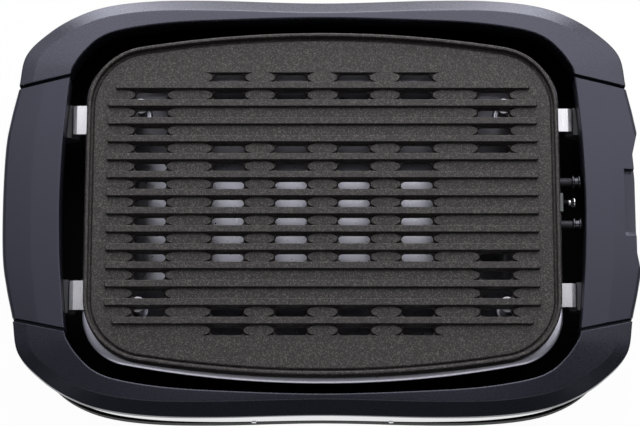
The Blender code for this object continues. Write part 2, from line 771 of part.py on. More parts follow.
def add_plug_port(handle):
    """Thickens the outer wall behind a notch with drawn-out ends, then cuts the pocket and the port."""
    low_y = PORT_FLAT_LOW_Y - PORT_PAD_MARGIN
    high_y = PORT_PINCH_Y + PORT_PAD_MARGIN
    pad = bmesh.new()
    pad_bottom = HANDLE_SKIRT_BOTTOM_Z + GAP
    pad_top = HANDLE_EDGE_Z - HANDLE_WALL + SINK
    block(pad, (PORT_PAD_X, low_y, pad_bottom), (PORT_FLAT_X + PORT_PAD_LAP, high_y, pad_top))
    combine(handle, tool("port_pad", pad), "UNION")
    floor = bmesh.new()
    margin = HANDLE_WALL
    low_z = POCKET_FLOOR_Z - POCKET_FLOOR
    block(
        floor,
        (POCKET_X - margin, POCKET_CENTRE_Y - POCKET_HALF_WIDTH - margin, low_z),
        (PORT_FLAT_X, POCKET_CENTRE_Y + POCKET_HALF_WIDTH + margin, HANDLE_EDGE_Z - SINK),
    )
    combine(handle, tool("pocket_floor", floor), "UNION")
    outside = BODY_HALF_WIDTH + OVERRUN
    notch = (
        Vector((outside, PORT_FLAT_LOW_Y - PORT_RUNOUT_FRONT)),
        Vector((outside, PORT_PINCH_Y + PORT_RUNOUT_BACK)),
        Vector((PORT_PINCH_X, PORT_PINCH_Y)),
        Vector((PORT_FLAT_X, PORT_CENTRE_Y + PORT_FLAT_BACK)),
        Vector((PORT_FLAT_X, PORT_FLAT_LOW_Y)),
    )
    flat = bmesh.new()
    loft(flat, [[raised(p, z) for p in notch] for z in (HANDLE_SKIRT_BOTTOM_Z - OVERRUN, TOP_Z + OVERRUN)])
    combine(handle, tool("port_flat", flat), "DIFFERENCE")
    pocket = bmesh.new()
    block(
        pocket,
        (POCKET_X, POCKET_CENTRE_Y - POCKET_HALF_WIDTH, POCKET_FLOOR_Z),
        (outside, POCKET_CENTRE_Y + POCKET_HALF_WIDTH, TOP_Z + OVERRUN),
    )
    combine(handle, tool("port_pocket", pocket), "DIFFERENCE")
    combine(handle, port_way("handle_port", HANDLE_SKIRT_BOTTOM_Z - OVERRUN), "DIFFERENCE")


def port_way(name, low_z):
    """The way through which a control plug reaches the terminals."""
    mesh = bmesh.new()
    block(
        mesh,
        (WELL_HALF_WIDTH - OVERRUN, PORT_CENTRE_Y - PORT_HALF_WIDTH, low_z),
        (BODY_HALF_WIDTH + OVERRUN, PORT_CENTRE_Y + PORT_HALF_WIDTH, PORT_TOP_Z),
    )
    return tool(name, mesh)


# Base


def make_base(material):
    stations = stations_between(0, 4 * QUARTER_STEPS, BASE_STEPS)[:-1]
    floor_z = BASE_BOTTOM_Z + BASE_FLOOR
    profile = (
        (BASE_SOLE_INSET, BASE_BOTTOM_Z),
        (BASE_FOOT_INSET, BASE_BOTTOM_Z + EDGE_ROUND),
        (BASE_HEEL_INSET, BASE_HEEL_Z),
        (BELT_LOW_INSET, BELT_LOW_Z),
        (0, BELT_TOP_Z - GAP),
        (BELT_STEP_INSET, BELT_TOP_Z),
        (UPPER_WALL_INSET, SPLIT_Z),
        (LEDGE_REACH, SPLIT_Z),
        (LEDGE_REACH, LEDGE_BOTTOM_Z),
        (UPPER_WALL_INSET + BASE_WALL, LEDGE_BOTTOM_Z),
        (BELT_LOW_INSET + BASE_WALL, BELT_LOW_Z),
        (BASE_HEEL_INSET + BASE_WALL, BASE_HEEL_Z),
        (BASE_FOOT_INSET + BASE_WALL, floor_z),
    )
    mesh = bmesh.new()
    bowl(mesh, [[raised(inset_belt(s, inset), z) for s in stations] for inset, z in profile])
    base = piece("base_shell", mesh, material)
    holes = bmesh.new()
    for x, y in corner_places(FOOT_X, FOOT_Y):
        radius = FOOT_PLUG_RADIUS + GAP
        low = BASE_BOTTOM_Z - OVERRUN
        high = floor_z + OVERRUN
        turned(holes, [(0, high), (radius, high), (radius, low), (0, low)], at(x, y, 0), SCREW_STEPS)
    for place in all_screw_places():
        add_bore(holes, place)
    combine(base, tool("base_holes", holes), "DIFFERENCE")
    combine(base, port_way("base_port", PORT_BOTTOM_Z), "DIFFERENCE")
    return base


def corner_places(x, y):
    return [(sx * x, sy * y) for sx in (-1, 1) for sy in (-1, 1)]


def corner_name(x, y):
    return f"{'back' if y > 0 else 'front'}_{'right' if x > 0 else 'left'}"


def all_screw_places():
    rims = screw_places(BACK_MIDDLE) + screw_places(FRONT_MIDDLE)
    return rims + handle_screw_places(-1) + handle_screw_places(1)


def make_screws(name, places, material):
    """Pan-head screws driven up through the ledge."""
    head_top = LEDGE_BOTTOM_Z - GAP
    tip = LEDGE_BOTTOM_Z + SCREW_LENGTH
    profile = (
        (0, tip),
        (SCREW_SHANK_RADIUS, tip - SCREW_SHANK_RADIUS),
        (SCREW_SHANK_RADIUS, head_top),
        (SCREW_HEAD_RADIUS, head_top),
        (SCREW_HEAD_RADIUS, head_top - SCREW_HEAD_HEIGHT / 2),
        (SCREW_HEAD_RADIUS - EDGE_ROUND, head_top - SCREW_HEAD_HEIGHT),
        (0, head_top - SCREW_HEAD_HEIGHT),
    )
    for number, place in enumerate(places, 1):
        mesh = bmesh.new()
        turned(mesh, profile, at(*place, 0), SCREW_STEPS)
        piece(f"{name}_{number}", mesh, material)


def make_trim(material):
    """The bright strip let into the front wall, deepest in the middle and drawn out thin at its ends."""
    reach = TRIM_REACH_STEPS * BASE_STEP
    end_x = point_on(BELT, FRONT_MIDDLE + reach).x
    top = SPLIT_Z - GAP
    outer_top = UPPER_WALL_INSET - GAP - TRIM_THICKNESS
    outer_low = BELT_STEP_INSET - GAP - TRIM_THICKNESS
    sections = []
    for station in stations_between(FRONT_MIDDLE - reach, FRONT_MIDDLE + reach, 2 * TRIM_REACH_STEPS):
        share = 1 - abs(point_on(BELT, station).x / end_x) ** 1.8
        low = top - TRIM_END_HEIGHT - (TRIM_HEIGHT - TRIM_END_HEIGHT) * share
        fall = (top - low) / TRIM_HEIGHT
        low_inset = outer_top + (outer_low - outer_top) * fall
        sections.append(
            [
                raised(inset_belt(station, outer_top), top),
                raised(inset_belt(station, low_inset), low),
                raised(inset_belt(station, low_inset + TRIM_THICKNESS), low),
                raised(inset_belt(station, outer_top + TRIM_THICKNESS), top),
            ]
        )
    mesh = bmesh.new()
    loft(mesh, sections)
    return piece("front_trim", mesh, material)


def make_foot(x, y, material):
    """A moulded rubber foot, plugged into the base's floor."""
    top = BASE_BOTTOM_Z - GAP
    profile = (
        (0, top + FOOT_PLUG_HEIGHT),
        (FOOT_PLUG_RADIUS, top + FOOT_PLUG_HEIGHT),
        (FOOT_PLUG_RADIUS, top),
        (FOOT_RADIUS, top),
        (FOOT_RADIUS, FOOT_BEAD),
        (FOOT_RADIUS - FOOT_BEAD, 0),
        (0, 0),
    )
    mesh = bmesh.new()
    turned(mesh, profile, at(x, y, 0), ROUND_STEPS)
    return piece(f"foot_{corner_name(x, y)}", mesh, material)


def lug_width(x):
    return LUG_WIDTH_LEFT if x < 0 else LUG_WIDTH_RIGHT


def make_rest(x, y, material):
    """A moulded bracket on the base's side wall. A lug ends on its nose, held in by the upright behind."""
    side = math.copysign(1, x)
    station = SEAM_STEPS * LUG_Y / point_on(BODY, SEAM_STEPS).y
    half = lug_width(x) / 2 + REST_MARGIN
    wall_top = min(inset_belt(s, UPPER_WALL_INSET + BASE_WALL).x for s in (station - 1, station + 1)) - GAP
    upright = LUG_END_X + GAP
    nose_z = LUG_END_Z - GAP
    top = REST_TOP_Z
    profile = (
        (REST_INNER_X, nose_z - REST_NOSE_DEPTH),
        (REST_INNER_X, nose_z),
        (upright, nose_z),
        (upright, top),
        (wall_top, top),
        (wall_top, REST_BOTTOM_Z),
        (wall_top - REST_FOOT_DEPTH, REST_BOTTOM_Z),
    )
    mesh = bmesh.new()
    prism(mesh, [(side * px, pz) for px, pz in profile], y - half, y + half)
    return piece(f"pan_rest_{corner_name(x, y)}", mesh, material)


# Drip pan


def pan_outline():
    return bowed_outline(PAN_HALF_WIDTH, PAN_HALF_DEPTH, PAN_SIDE_BOW, PAN_END_BOW, PAN_CORNER_RADIUS)


def make_pan(lift, material):
    """A pressed pan: rolled edge, flat flange, hipped slopes, flat floor and four pressed seats."""
    rim = pan_outline()
    floor = bowed_outline(
        PAN_FLOOR_HALF_WIDTH, PAN_FLOOR_HALF_DEPTH, PAN_FLOOR_BOW, PAN_FLOOR_BOW, PAN_FLOOR_CORNER
    )
    top = PAN_RIM_Z
    below = PAN_RIM_Z - PAN_SHEET
    rings = [
        ring(floor, 0, PAN_FLOOR_Z),
        ring(rim, PAN_FLANGE, top),
        ring(rim, PAN_BEAD_WIDTH / 2, top),
        ring(rim, 0, top - PAN_BEAD_ROUND),
        ring(rim, 0, top - PAN_BEAD_DROP + PAN_BEAD_ROUND),
        ring(rim, PAN_BEAD_WIDTH / 2, top - PAN_BEAD_DROP),
        ring(rim, PAN_BEAD_WIDTH, below),
        ring(rim, PAN_FLANGE, below),
        ring(floor, 0, PAN_FLOOR_Z - PAN_SHEET),
    ]
    mesh = bmesh.new()
    bowl(mesh, rings)
    pan = piece("drip_pan", mesh, material, lift)
    seats = bmesh.new()
    cups = bmesh.new()
    holes = bmesh.new()
    for x, y in corner_places(LEG_X, LEG_Y):
        turned(
            seats,
            [(0, SEAT_TOP_Z), (SEAT_RADIUS, SEAT_TOP_Z), (SEAT_RADIUS, SEAT_BOTTOM_Z), (0, SEAT_BOTTOM_Z)],
            at(x, y, 0),
            ROUND_STEPS,
        )
        cup_top = SEAT_TOP_Z + OVERRUN
        cup_low = SEAT_TOP_Z - SEAT_CUP_DEPTH
        turned(
            cups,
            [(0, cup_top), (SEAT_CUP_RADIUS, cup_top), (SEAT_CUP_RADIUS, cup_low), (0, cup_low)],
            at(x, y, 0),
            ROUND_STEPS,
        )
    for place in rivet_places():
        add_rivet_hole(holes, place)
    combine(pan, tool("pan_seats", seats), "UNION")
    combine(pan, tool("pan_cups", cups), "DIFFERENCE")
    combine(pan, tool("pan_rivet_holes", holes), "DIFFERENCE")
    return pan


def rivet_places(x=None, y=None):
    corners = corner_places(RIVET_X, LUG_Y) if x is None else [(math.copysign(RIVET_X, x), y)]
    return [(cx, cy + s * RIVET_SPACING / 2) for cx, cy in corners for s in (-1, 1)]


def add_rivet_hole(mesh, place):
    radius = RIVET_SHANK_RADIUS + GAP
    high = LUG_TOP_Z + OVERRUN
    low = PAN_RIM_Z - PAN_SHEET - OVERRUN
    turned(mesh, [(0, high), (radius, high), (radius, low), (0, low)], at(*place, 0), SCREW_STEPS)


def make_lug(x, y, lift, material):
    """A strap riveted on the pan's flange, run out flat, eased over a shoulder and bent down to its rest."""
    side = math.copysign(1, x)
    slope = LUG_FOLD_DROP / (LUG_END_X - LUG_BEND_X)
    through = LUG_SHEET * math.sqrt(1 + slope**2)
    fold_z = LUG_TOP_Z - LUG_FOLD_DROP
    profile = (
        (LUG_INNER_X, LUG_TOP_Z),
        (LUG_BEND_X, LUG_TOP_Z),
        (LUG_END_X, fold_z),
        (LUG_END_X, LUG_END_Z),
        (LUG_END_X - LUG_SHEET, LUG_END_Z),
        (LUG_END_X - LUG_SHEET, fold_z + LUG_SHEET * slope - through),
        (LUG_BEND_X - (through - LUG_SHEET) / slope, LUG_TOP_Z - LUG_SHEET),
        (LUG_INNER_X, LUG_TOP_Z - LUG_SHEET),
    )
    half = lug_width(x) / 2
    mesh = bmesh.new()
    prism(mesh, [(side * px, pz) for px, pz in profile], y - half, y + half)
    lug = piece(f"pan_lug_{corner_name(x, y)}", mesh, material, lift)
    holes = bmesh.new()
    for place in rivet_places(x, y):
        add_rivet_hole(holes, place)
    combine(lug, tool(f"lug_holes_{corner_name(x, y)}", holes), "DIFFERENCE")
    return lug


def make_rivets(lift, material):
    """Two rivets through each lug and the flange."""
    upper = LUG_TOP_Z + GAP
    lower = PAN_RIM_Z - PAN_SHEET - GAP
    profile = (
        (0, upper + RIVET_HEAD_HEIGHT),
        (RIVET_HEAD_RADIUS / 2, upper + RIVET_HEAD_HEIGHT),
        (RIVET_HEAD_RADIUS, upper),
        (RIVET_SHANK_RADIUS, upper),
        (RIVET_SHANK_RADIUS, lower),
        (RIVET_HEAD_RADIUS, lower),
        (RIVET_HEAD_RADIUS / 2, lower - RIVET_HEAD_HEIGHT),
        (0, lower - RIVET_HEAD_HEIGHT),
    )
    for number, place in enumerate(rivet_places(), 1):
        mesh = bmesh.new()
        turned(mesh, profile, at(*place, 0), SCREW_STEPS)
        piece(f"lug_rivet_{number}", mesh, material, lift)


# Grill plate


def gap_y(gap):
    """The middle of the gap in front of rib number gap, counted from the back. Gap 0 lies behind them."""
    return (RIB_COUNT / 2 - gap) * RIB_PITCH


def rib_half_length(index):
    """The first and the last rib are a little shorter, because the plate's corners are round."""
    return RIB_HALF_LENGTH - (RIB_SHORTENING if index in (0, RIB_COUNT - 1) else 0)


def add_rib(mesh, index):
    """A drafted bar with its top edges broken, sunk a little into the plate's field."""
    y = gap_y(index + 1 / 2)
    low = PLATE_FIELD_Z - SINK
    high = PLATE_FIELD_Z + RIB_HEIGHT
    foot = RIB_DRAFT * (RIB_HEIGHT + SINK) / RIB_HEIGHT
    sections = []
    for spread, z in ((foot, low), (RIB_EDGE * RIB_DRAFT / RIB_HEIGHT, high - RIB_EDGE), (-RIB_EDGE, high)):
        half_length = rib_half_length(index) + spread
        half_width = RIB_WIDTH / 2 + spread
        sections.append(
            [
                Vector((-half_length, y - half_width, z)),
                Vector((half_length, y - half_width, z)),
                Vector((half_length, y + half_width, z)),
                Vector((-half_length, y + half_width, z)),
            ]
        )
    loft(mesh, sections)


def slot_places():
    side = SIDE_COLUMN_SHARE * RIB_HALF_LENGTH
    centre = [share * RIB_HALF_LENGTH for share in CENTRE_COLUMN_SHARES]
    places = [(x, gap_y(gap)) for gap in CENTRE_SLOT_GAPS for x in centre]
    places += [(-side, gap_y(gap)) for gap in LEFT_SLOT_GAPS]
    places += [(side, gap_y(gap)) for gap in RIGHT_SLOT_GAPS]
    return places


def scoop_end():
    """Half of a scoop's outline at the field, round its +X end: long at the ribs, short between them."""
    half_width = (RIB_PITCH - RIB_WIDTH) / 2 - RIB_DRAFT - SCOOP_MARGIN
    corner = SCOOP_LENGTH / 2
    middle = SCOOP_TIP_LENGTH / 2
    return [
        (corner, -half_width),
        (middle, -half_width / 4),
        (middle, half_width / 4),
        (corner, half_width),
    ]


def slot_end():
    """Half of the through slot's outline, round its +X end."""
    radius = SLOT_WIDTH / 2
    centre = SLOT_LENGTH / 2 - radius
    angles = [TURN / 12 * i for i in (-3, -1, 1, 3)]
    return [(centre + radius * math.cos(a), radius * math.sin(a)) for a in angles]


def both_ends(end):
    return end + [(-x, -y) for x, y in end]


def add_slot(mesh, x, y):
    scoop = both_ends(scoop_end())
    slot = both_ends(slot_end())
    levels = (
        (scoop, PLATE_FIELD_Z + SINK),
        (scoop, PLATE_FIELD_Z),
        (slot, PLATE_FIELD_Z - SCOOP_DEPTH),
        (slot, PLATE_UNDERSIDE_Z - OVERRUN),
    )
    loft(mesh, [[Vector((x + px, y + py, z)) for px, py in outline] for outline, z in levels])


def element_corners():
    lead = ELEMENT_LEAD_X
    run_x = ELEMENT_RUN_X
    run_y = ELEMENT_RUN_Y
    return [
        Vector((lead, PIN_BACK_Y)),
        Vector((run_x, PIN_BACK_Y)),
        Vector((run_x, run_y)),
        Vector((-run_x, run_y)),
        Vector((-run_x, -run_y)),
        Vector((run_x, -run_y)),
        Vector((run_x, PIN_FRONT_Y)),
        Vector((lead, PIN_FRONT_Y)),
    ]


def element_path():
    return bent_path(element_corners(), ELEMENT_BEND)


def plate_outline():
    return bowed_outline(
        PLATE_HALF_WIDTH, PLATE_HALF_DEPTH, PLATE_SIDE_BOW, PLATE_END_BOW, PLATE_CORNER_RADIUS
    )


def make_plate(lift, material):
    """The casting: lip, gutter and field, ribs, scooped slots, and the ridge that holds the element."""
    outline = plate_outline()
    bank = LIP_WIDTH + LIP_DRAFT + GROOVE_WIDTH
    groove_z = PLATE_FIELD_Z - GROOVE_DEPTH
    rings = [
        ring(outline, SKIRT_WALL + LIP_DRAFT, PLATE_UNDERSIDE_Z),
        ring(outline, SKIRT_WALL, PLATE_SKIRT_Z),
        ring(outline, 0, PLATE_SKIRT_Z),
        ring(outline, 0, TOP_Z - LIP_ROUND),
        ring(outline, LIP_ROUND, TOP_Z),
        ring(outline, LIP_WIDTH, TOP_Z),
        ring(outline, LIP_WIDTH + LIP_DRAFT, groove_z),
        ring(outline, bank, groove_z),
        ring(outline, bank + GROOVE_BANK, PLATE_FIELD_Z),
    ]
    mesh = bmesh.new()
    bowl(mesh, rings)
    plate = piece("grill_plate", mesh, material, lift)

    ribs = bmesh.new()
    for index in range(RIB_COUNT):
        add_rib(ribs, index)
    combine(plate, tool("plate_ribs", ribs), "UNION")

    ridge = bmesh.new()
    half = RIDGE_WIDTH / 2
    ridge_low = ELEMENT_Z - RIDGE_DROP
    ridge_high = PLATE_UNDERSIDE_Z + SINK
    section = [(-half, ridge_low), (half, ridge_low), (half, ridge_high), (-half, ridge_high)]
    swept(ridge, element_path(), section)
    combine(plate, tool("plate_ridge", ridge), "UNION")

    groove = bmesh.new()
    radius = ELEMENT_RADIUS + GAP
    angles = [TURN / 8 * i for i in range(5)]
    arch = [(radius * math.cos(a), ELEMENT_Z + radius * math.sin(a)) for a in angles]
    profile = [(radius, ridge_low - OVERRUN), *arch, (-radius, ridge_low - OVERRUN)]
    path = element_path()
    path[0] = path[0] + Vector((OVERRUN, 0))
    path[-1] = path[-1] + Vector((OVERRUN, 0))
    swept(groove, path, profile)
    combine(plate, tool("plate_groove", groove), "DIFFERENCE")

    slots = bmesh.new()
    for x, y in slot_places():
        add_slot(slots, x, y)
    combine(plate, tool("plate_slots", slots), "DIFFERENCE")

    sockets = bmesh.new()
    for x, y in corner_places(LEG_X, LEG_Y):
        radius = LEG_SPIGOT_RADIUS + GAP
        high = PLATE_UNDERSIDE_Z + LEG_SPIGOT_HEIGHT + GAP
        low = PLATE_UNDERSIDE_Z - OVERRUN
        turned(sockets, [(0, high), (radius, high), (radius, low), (0, low)], at(x, y, 0), SCREW_STEPS)
    combine(plate, tool("plate_sockets", sockets), "DIFFERENCE")
    return plate


def make_element(lift, material):
    """The sheathed element: one tube, bent into an open C and swaged into the ridge."""
    angles = [TURN * (i + 0.5) / TUBE_SIDES for i in range(TUBE_SIDES)]
    profile = [(ELEMENT_RADIUS * math.cos(a), ELEMENT_Z + ELEMENT_RADIUS * math.sin(a)) for a in angles]
    mesh = bmesh.new()
    swept(mesh, element_path(), profile)
    return piece("heating_element", mesh, material, lift)


def make_leg(x, y, lift, material):
    """A turned leg, its spigot pressed into the plate and its tip standing in the pan's cup."""
    top = PLATE_UNDERSIDE_Z - GAP
    tip = SEAT_TOP_Z - SEAT_CUP_DEPTH + GAP
    profile = (
        (0, PLATE_UNDERSIDE_Z + LEG_SPIGOT_HEIGHT),
        (LEG_SPIGOT_RADIUS, PLATE_UNDERSIDE_Z + LEG_SPIGOT_HEIGHT),
        (LEG_SPIGOT_RADIUS, top),
        (LEG_PAD_RADIUS, top),
        (LEG_PAD_RADIUS, top - LEG_PAD_HEIGHT),
        (LEG_ROOT_RADIUS, top - LEG_PAD_HEIGHT),
        (LEG_TIP_RADIUS, tip + EDGE_ROUND),
        (LEG_TIP_RADIUS - EDGE_ROUND, tip),
        (0, tip),
    )
    mesh = bmesh.new()
    turned(mesh, profile, at(x, y, 0), ROUND_STEPS)
    return piece(f"plate_leg_{corner_name(x, y)}", mesh, material, lift)


def make_terminal_pin(name, y, lift, material):
    """A terminal pin, run out from the end of the element's sheath under the plate's skirt."""
    start = ELEMENT_LEAD_X + GAP
    length = PIN_END_X - start
    profile = (
        (0, length),
        (PIN_RADIUS - EDGE_ROUND, length),
        (PIN_RADIUS, length - EDGE_ROUND),
        (PIN_RADIUS, 0),
        (0, 0),
    )
    mesh = bmesh.new()
    turned(mesh, profile, along_x(start, y, ELEMENT_Z), ROUND_STEPS)
    return piece(name, mesh, material, lift)


def make_collar(name, y, lift, material):
    """The collar on a pin: two flanges with a waist between them."""
    bore = PIN_RADIUS + GAP
    waist_low = COLLAR_FLANGE
    waist_high = COLLAR_LENGTH - COLLAR_FLANGE
    profile = (
        (bore, COLLAR_LENGTH),
        (COLLAR_RADIUS - EDGE_ROUND / 2, COLLAR_LENGTH),
        (COLLAR_RADIUS, COLLAR_LENGTH - EDGE_ROUND / 2),
        (COLLAR_RADIUS, waist_high),
        (COLLAR_WAIST_RADIUS, waist_high),
        (COLLAR_WAIST_RADIUS, waist_low),
        (COLLAR_RADIUS, waist_low),
        (COLLAR_RADIUS, 0),
        (bore, 0),
    )
    mesh = bmesh.new()
    turned(mesh, profile, along_x(COLLAR_X, y, ELEMENT_Z), ROUND_STEPS, closed=True)
    return piece(name, mesh, material, lift)


def make_probe_block(lift, material):
    """The block under the plate's edge that takes the heat probe's sleeve."""
    front_x = PLATE_HALF_WIDTH + BLOCK_LENGTH / 2
    back_x = PLATE_HALF_WIDTH - BLOCK_LENGTH / 2
    top = PLATE_SKIRT_Z - GAP
    mesh = bmesh.new()
    block(
        mesh,
        (back_x, PROBE_Y - BLOCK_WIDTH / 2, top - BLOCK_HEIGHT),
        (front_x, PROBE_Y + BLOCK_WIDTH / 2, top),
    )
    body = piece("probe_block", mesh, material, lift)
    bore = bmesh.new()
    radius = SLEEVE_RADIUS + GAP
    length = BLOCK_LENGTH + 2 * OVERRUN
    turned(
        bore,
        [(0, length), (radius, length), (radius, 0), (0, 0)],
        along_x(back_x - OVERRUN, PROBE_Y, top - BLOCK_HEIGHT / 2),
        ROUND_STEPS,
    )
    combine(body, tool("block_bore", bore), "DIFFERENCE")
    return body


def make_probe_sleeve(lift, material):
    """The sleeve that guides a heat probe, with its bright bell mouth."""
    start = PLATE_HALF_WIDTH - BLOCK_LENGTH / 2
    length = SLEEVE_END_X - start
    neck = length - SLEEVE_MOUTH_LENGTH
    wall = SLEEVE_RADIUS - SLEEVE_BORE
    profile = (
        (SLEEVE_MOUTH_RADIUS - wall, length),
        (SLEEVE_MOUTH_RADIUS, length),
        (SLEEVE_MOUTH_RADIUS, length - wall),
        (SLEEVE_RADIUS, neck - wall),
        (SLEEVE_RADIUS, 0),
        (SLEEVE_BORE, 0),
        (SLEEVE_BORE, neck),
    )
    z = PLATE_SKIRT_Z - GAP - BLOCK_HEIGHT / 2
    mesh = bmesh.new()
    turned(mesh, profile, along_x(start, PROBE_Y, z), ROUND_STEPS, closed=True)
    return piece("probe_sleeve", mesh, material, lift)


def build():
    clear_scene()
    navy = finish("navy_moulding", (0.045, 0.047, 0.068), 0.42)
    gloss = finish("gloss_navy_moulding", (0.03, 0.031, 0.045), 0.22)
    black = finish("black_moulding", (0.008, 0.008, 0.009), 0.5)
    grey = finish("grey_moulding", (0.05, 0.05, 0.055), 0.55)
    rubber = finish("foot_rubber", (0.012, 0.012, 0.012), 0.85)
    bright = finish("bright_trim", (0.82, 0.82, 0.83), 0.18, 1.0)
    aluminium = finish("pan_aluminium", (0.72, 0.73, 0.74), 0.32, 1.0)
    steel = finish("lug_steel", (0.66, 0.66, 0.67), 0.3, 1.0)
    zinc = finish("screw_zinc", (0.5, 0.5, 0.51), 0.4, 1.0)
    coated = finish("nonstick_casting", (0.07, 0.063, 0.06), 0.6, 0.2)
    sheath = finish("element_sheath", (0.1, 0.1, 0.105), 0.45, 0.9)

    make_base(black)
    make_rim("rim_back", BACK_MIDDLE, gloss)
    make_rim("rim_front", FRONT_MIDDLE, gloss)
    make_handle("handle_left", -1, navy)
    make_handle("handle_right", 1, navy)
    make_trim(bright)
    make_screws("rim_screw", screw_places(BACK_MIDDLE) + screw_places(FRONT_MIDDLE), zinc)
    make_screws("handle_screw", handle_screw_places(-1) + handle_screw_places(1), zinc)
    for x, y in corner_places(FOOT_X, FOOT_Y):
        make_foot(x, y, rubber)
    for x, y in corner_places(LUG_END_X, LUG_Y):
        make_rest(x, y, grey)

    pan_lift = carrier("pan_lift_axis", PAN_RIM_Z)
    make_pan(pan_lift, aluminium)
    for x, y in corner_places(LUG_END_X, LUG_Y):
        make_lug(x, y, pan_lift, steel)
    make_rivets(pan_lift, zinc)

    plate_lift = carrier("plate_lift_axis", PLATE_FIELD_Z)
    make_plate(plate_lift, coated)
    make_element(plate_lift, sheath)
    for x, y in corner_places(LEG_X, LEG_Y):
        make_leg(x, y, plate_lift, steel)
    for label, y in (("back", PIN_BACK_Y), ("front", PIN_FRONT_Y)):
        make_terminal_pin(f"terminal_pin_{label}", y, plate_lift, sheath)
        make_collar(f"terminal_collar_{label}", y, plate_lift, steel)
    make_probe_block(plate_lift, zinc)
    make_probe_sleeve(plate_lift, bright)


build()
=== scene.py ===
"""Looks of the indoor electric grill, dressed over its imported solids.

The moulded base with its rims and handles, the pressed pan, and the cast plate with its element are each a
class that builds its pieces and gives them their finish. Metres, +Z up, +X to the plug side, +Y to the back.
"""

import logging
import math
from collections.abc import Sequence
from dataclasses import dataclass, field
from enum import Enum
from functools import cached_property
from typing import ClassVar

import bmesh
import bpy
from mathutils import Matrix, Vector


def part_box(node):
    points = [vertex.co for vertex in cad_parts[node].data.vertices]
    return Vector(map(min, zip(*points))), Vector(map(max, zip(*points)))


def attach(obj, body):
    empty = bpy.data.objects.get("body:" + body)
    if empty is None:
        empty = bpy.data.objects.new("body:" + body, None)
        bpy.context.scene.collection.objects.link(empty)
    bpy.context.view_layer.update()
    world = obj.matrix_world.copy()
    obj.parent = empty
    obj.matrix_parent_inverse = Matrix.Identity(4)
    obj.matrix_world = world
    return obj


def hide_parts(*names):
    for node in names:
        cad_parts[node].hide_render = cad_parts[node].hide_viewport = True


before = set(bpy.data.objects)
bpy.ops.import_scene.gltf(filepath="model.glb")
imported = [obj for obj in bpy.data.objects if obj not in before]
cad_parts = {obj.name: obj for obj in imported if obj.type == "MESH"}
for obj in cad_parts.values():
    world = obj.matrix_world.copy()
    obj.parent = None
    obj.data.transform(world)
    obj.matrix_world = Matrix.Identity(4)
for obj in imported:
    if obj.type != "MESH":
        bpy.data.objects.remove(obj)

MM = 0.001
TURN = 2 * math.pi
Ring = list[Vector]
Socket = bpy.types.NodeSocket
Obj = bpy.types.Object
Tree = bpy.types.NodeTree
Profile = Sequence[tuple[float, float]]
Corners = Sequence[Sequence[float]]

logging.basicConfig(level=logging.INFO, format="%(message)s")
log = logging.getLogger("grill")


class Carrier(str, Enum):
    """The bodies that move."""

    BASE = "base"
    PAN = "pan"
    PLATE = "plate"


class Slot(str, Enum):
    """The record's material slots."""

    NAVY = "navy_moulding"
    GLOSS_NAVY = "gloss_navy_moulding"
    BLACK = "black_moulding"
    GREY = "grey_moulding"
    RUBBER = "foot_rubber"
    TRIM = "bright_trim"
    PAN = "pan_aluminium"
    LUG = "lug_steel"
    ZINC = "screw_zinc"
    NONSTICK = "nonstick_casting"
    SHEATH = "element_sheath"


# Finishes


def linear(code: str) -> tuple[float, float, float, float]:
    """Turns an sRGB hex code into linear colour.

    Args:
        code: Six hex digits after a hash.

    Returns:
        Red, green, blue and an alpha of one.
    """
    parts = [int(code[i : i + 2], 16) / 255 for i in (1, 3, 5)]
    red, green, blue = (c / 12.92 if c <= 0.04045 else ((c + 0.055) / 1.055) ** 2.4 for c in parts)
    return red, green, blue, 1.0


def add_node(tree: Tree, kind: str, inputs: dict | None = None, **settings) -> bpy.types.Node:
    """Adds one node.

    Args:
        tree: Where it goes.
        kind: Blender's name for the node.
        inputs: Values for its sockets, or the sockets to link to them.
        settings: Its other settings.

    Returns:
        The node.
    """
    node = tree.nodes.new(kind)
    for name, value in settings.items():
        setattr(node, name, value)
    for name, value in (inputs or {}).items():
        if isinstance(value, bpy.types.NodeSocket):
            tree.links.new(value, node.inputs[name])
        else:
            node.inputs[name].default_value = value
    return node


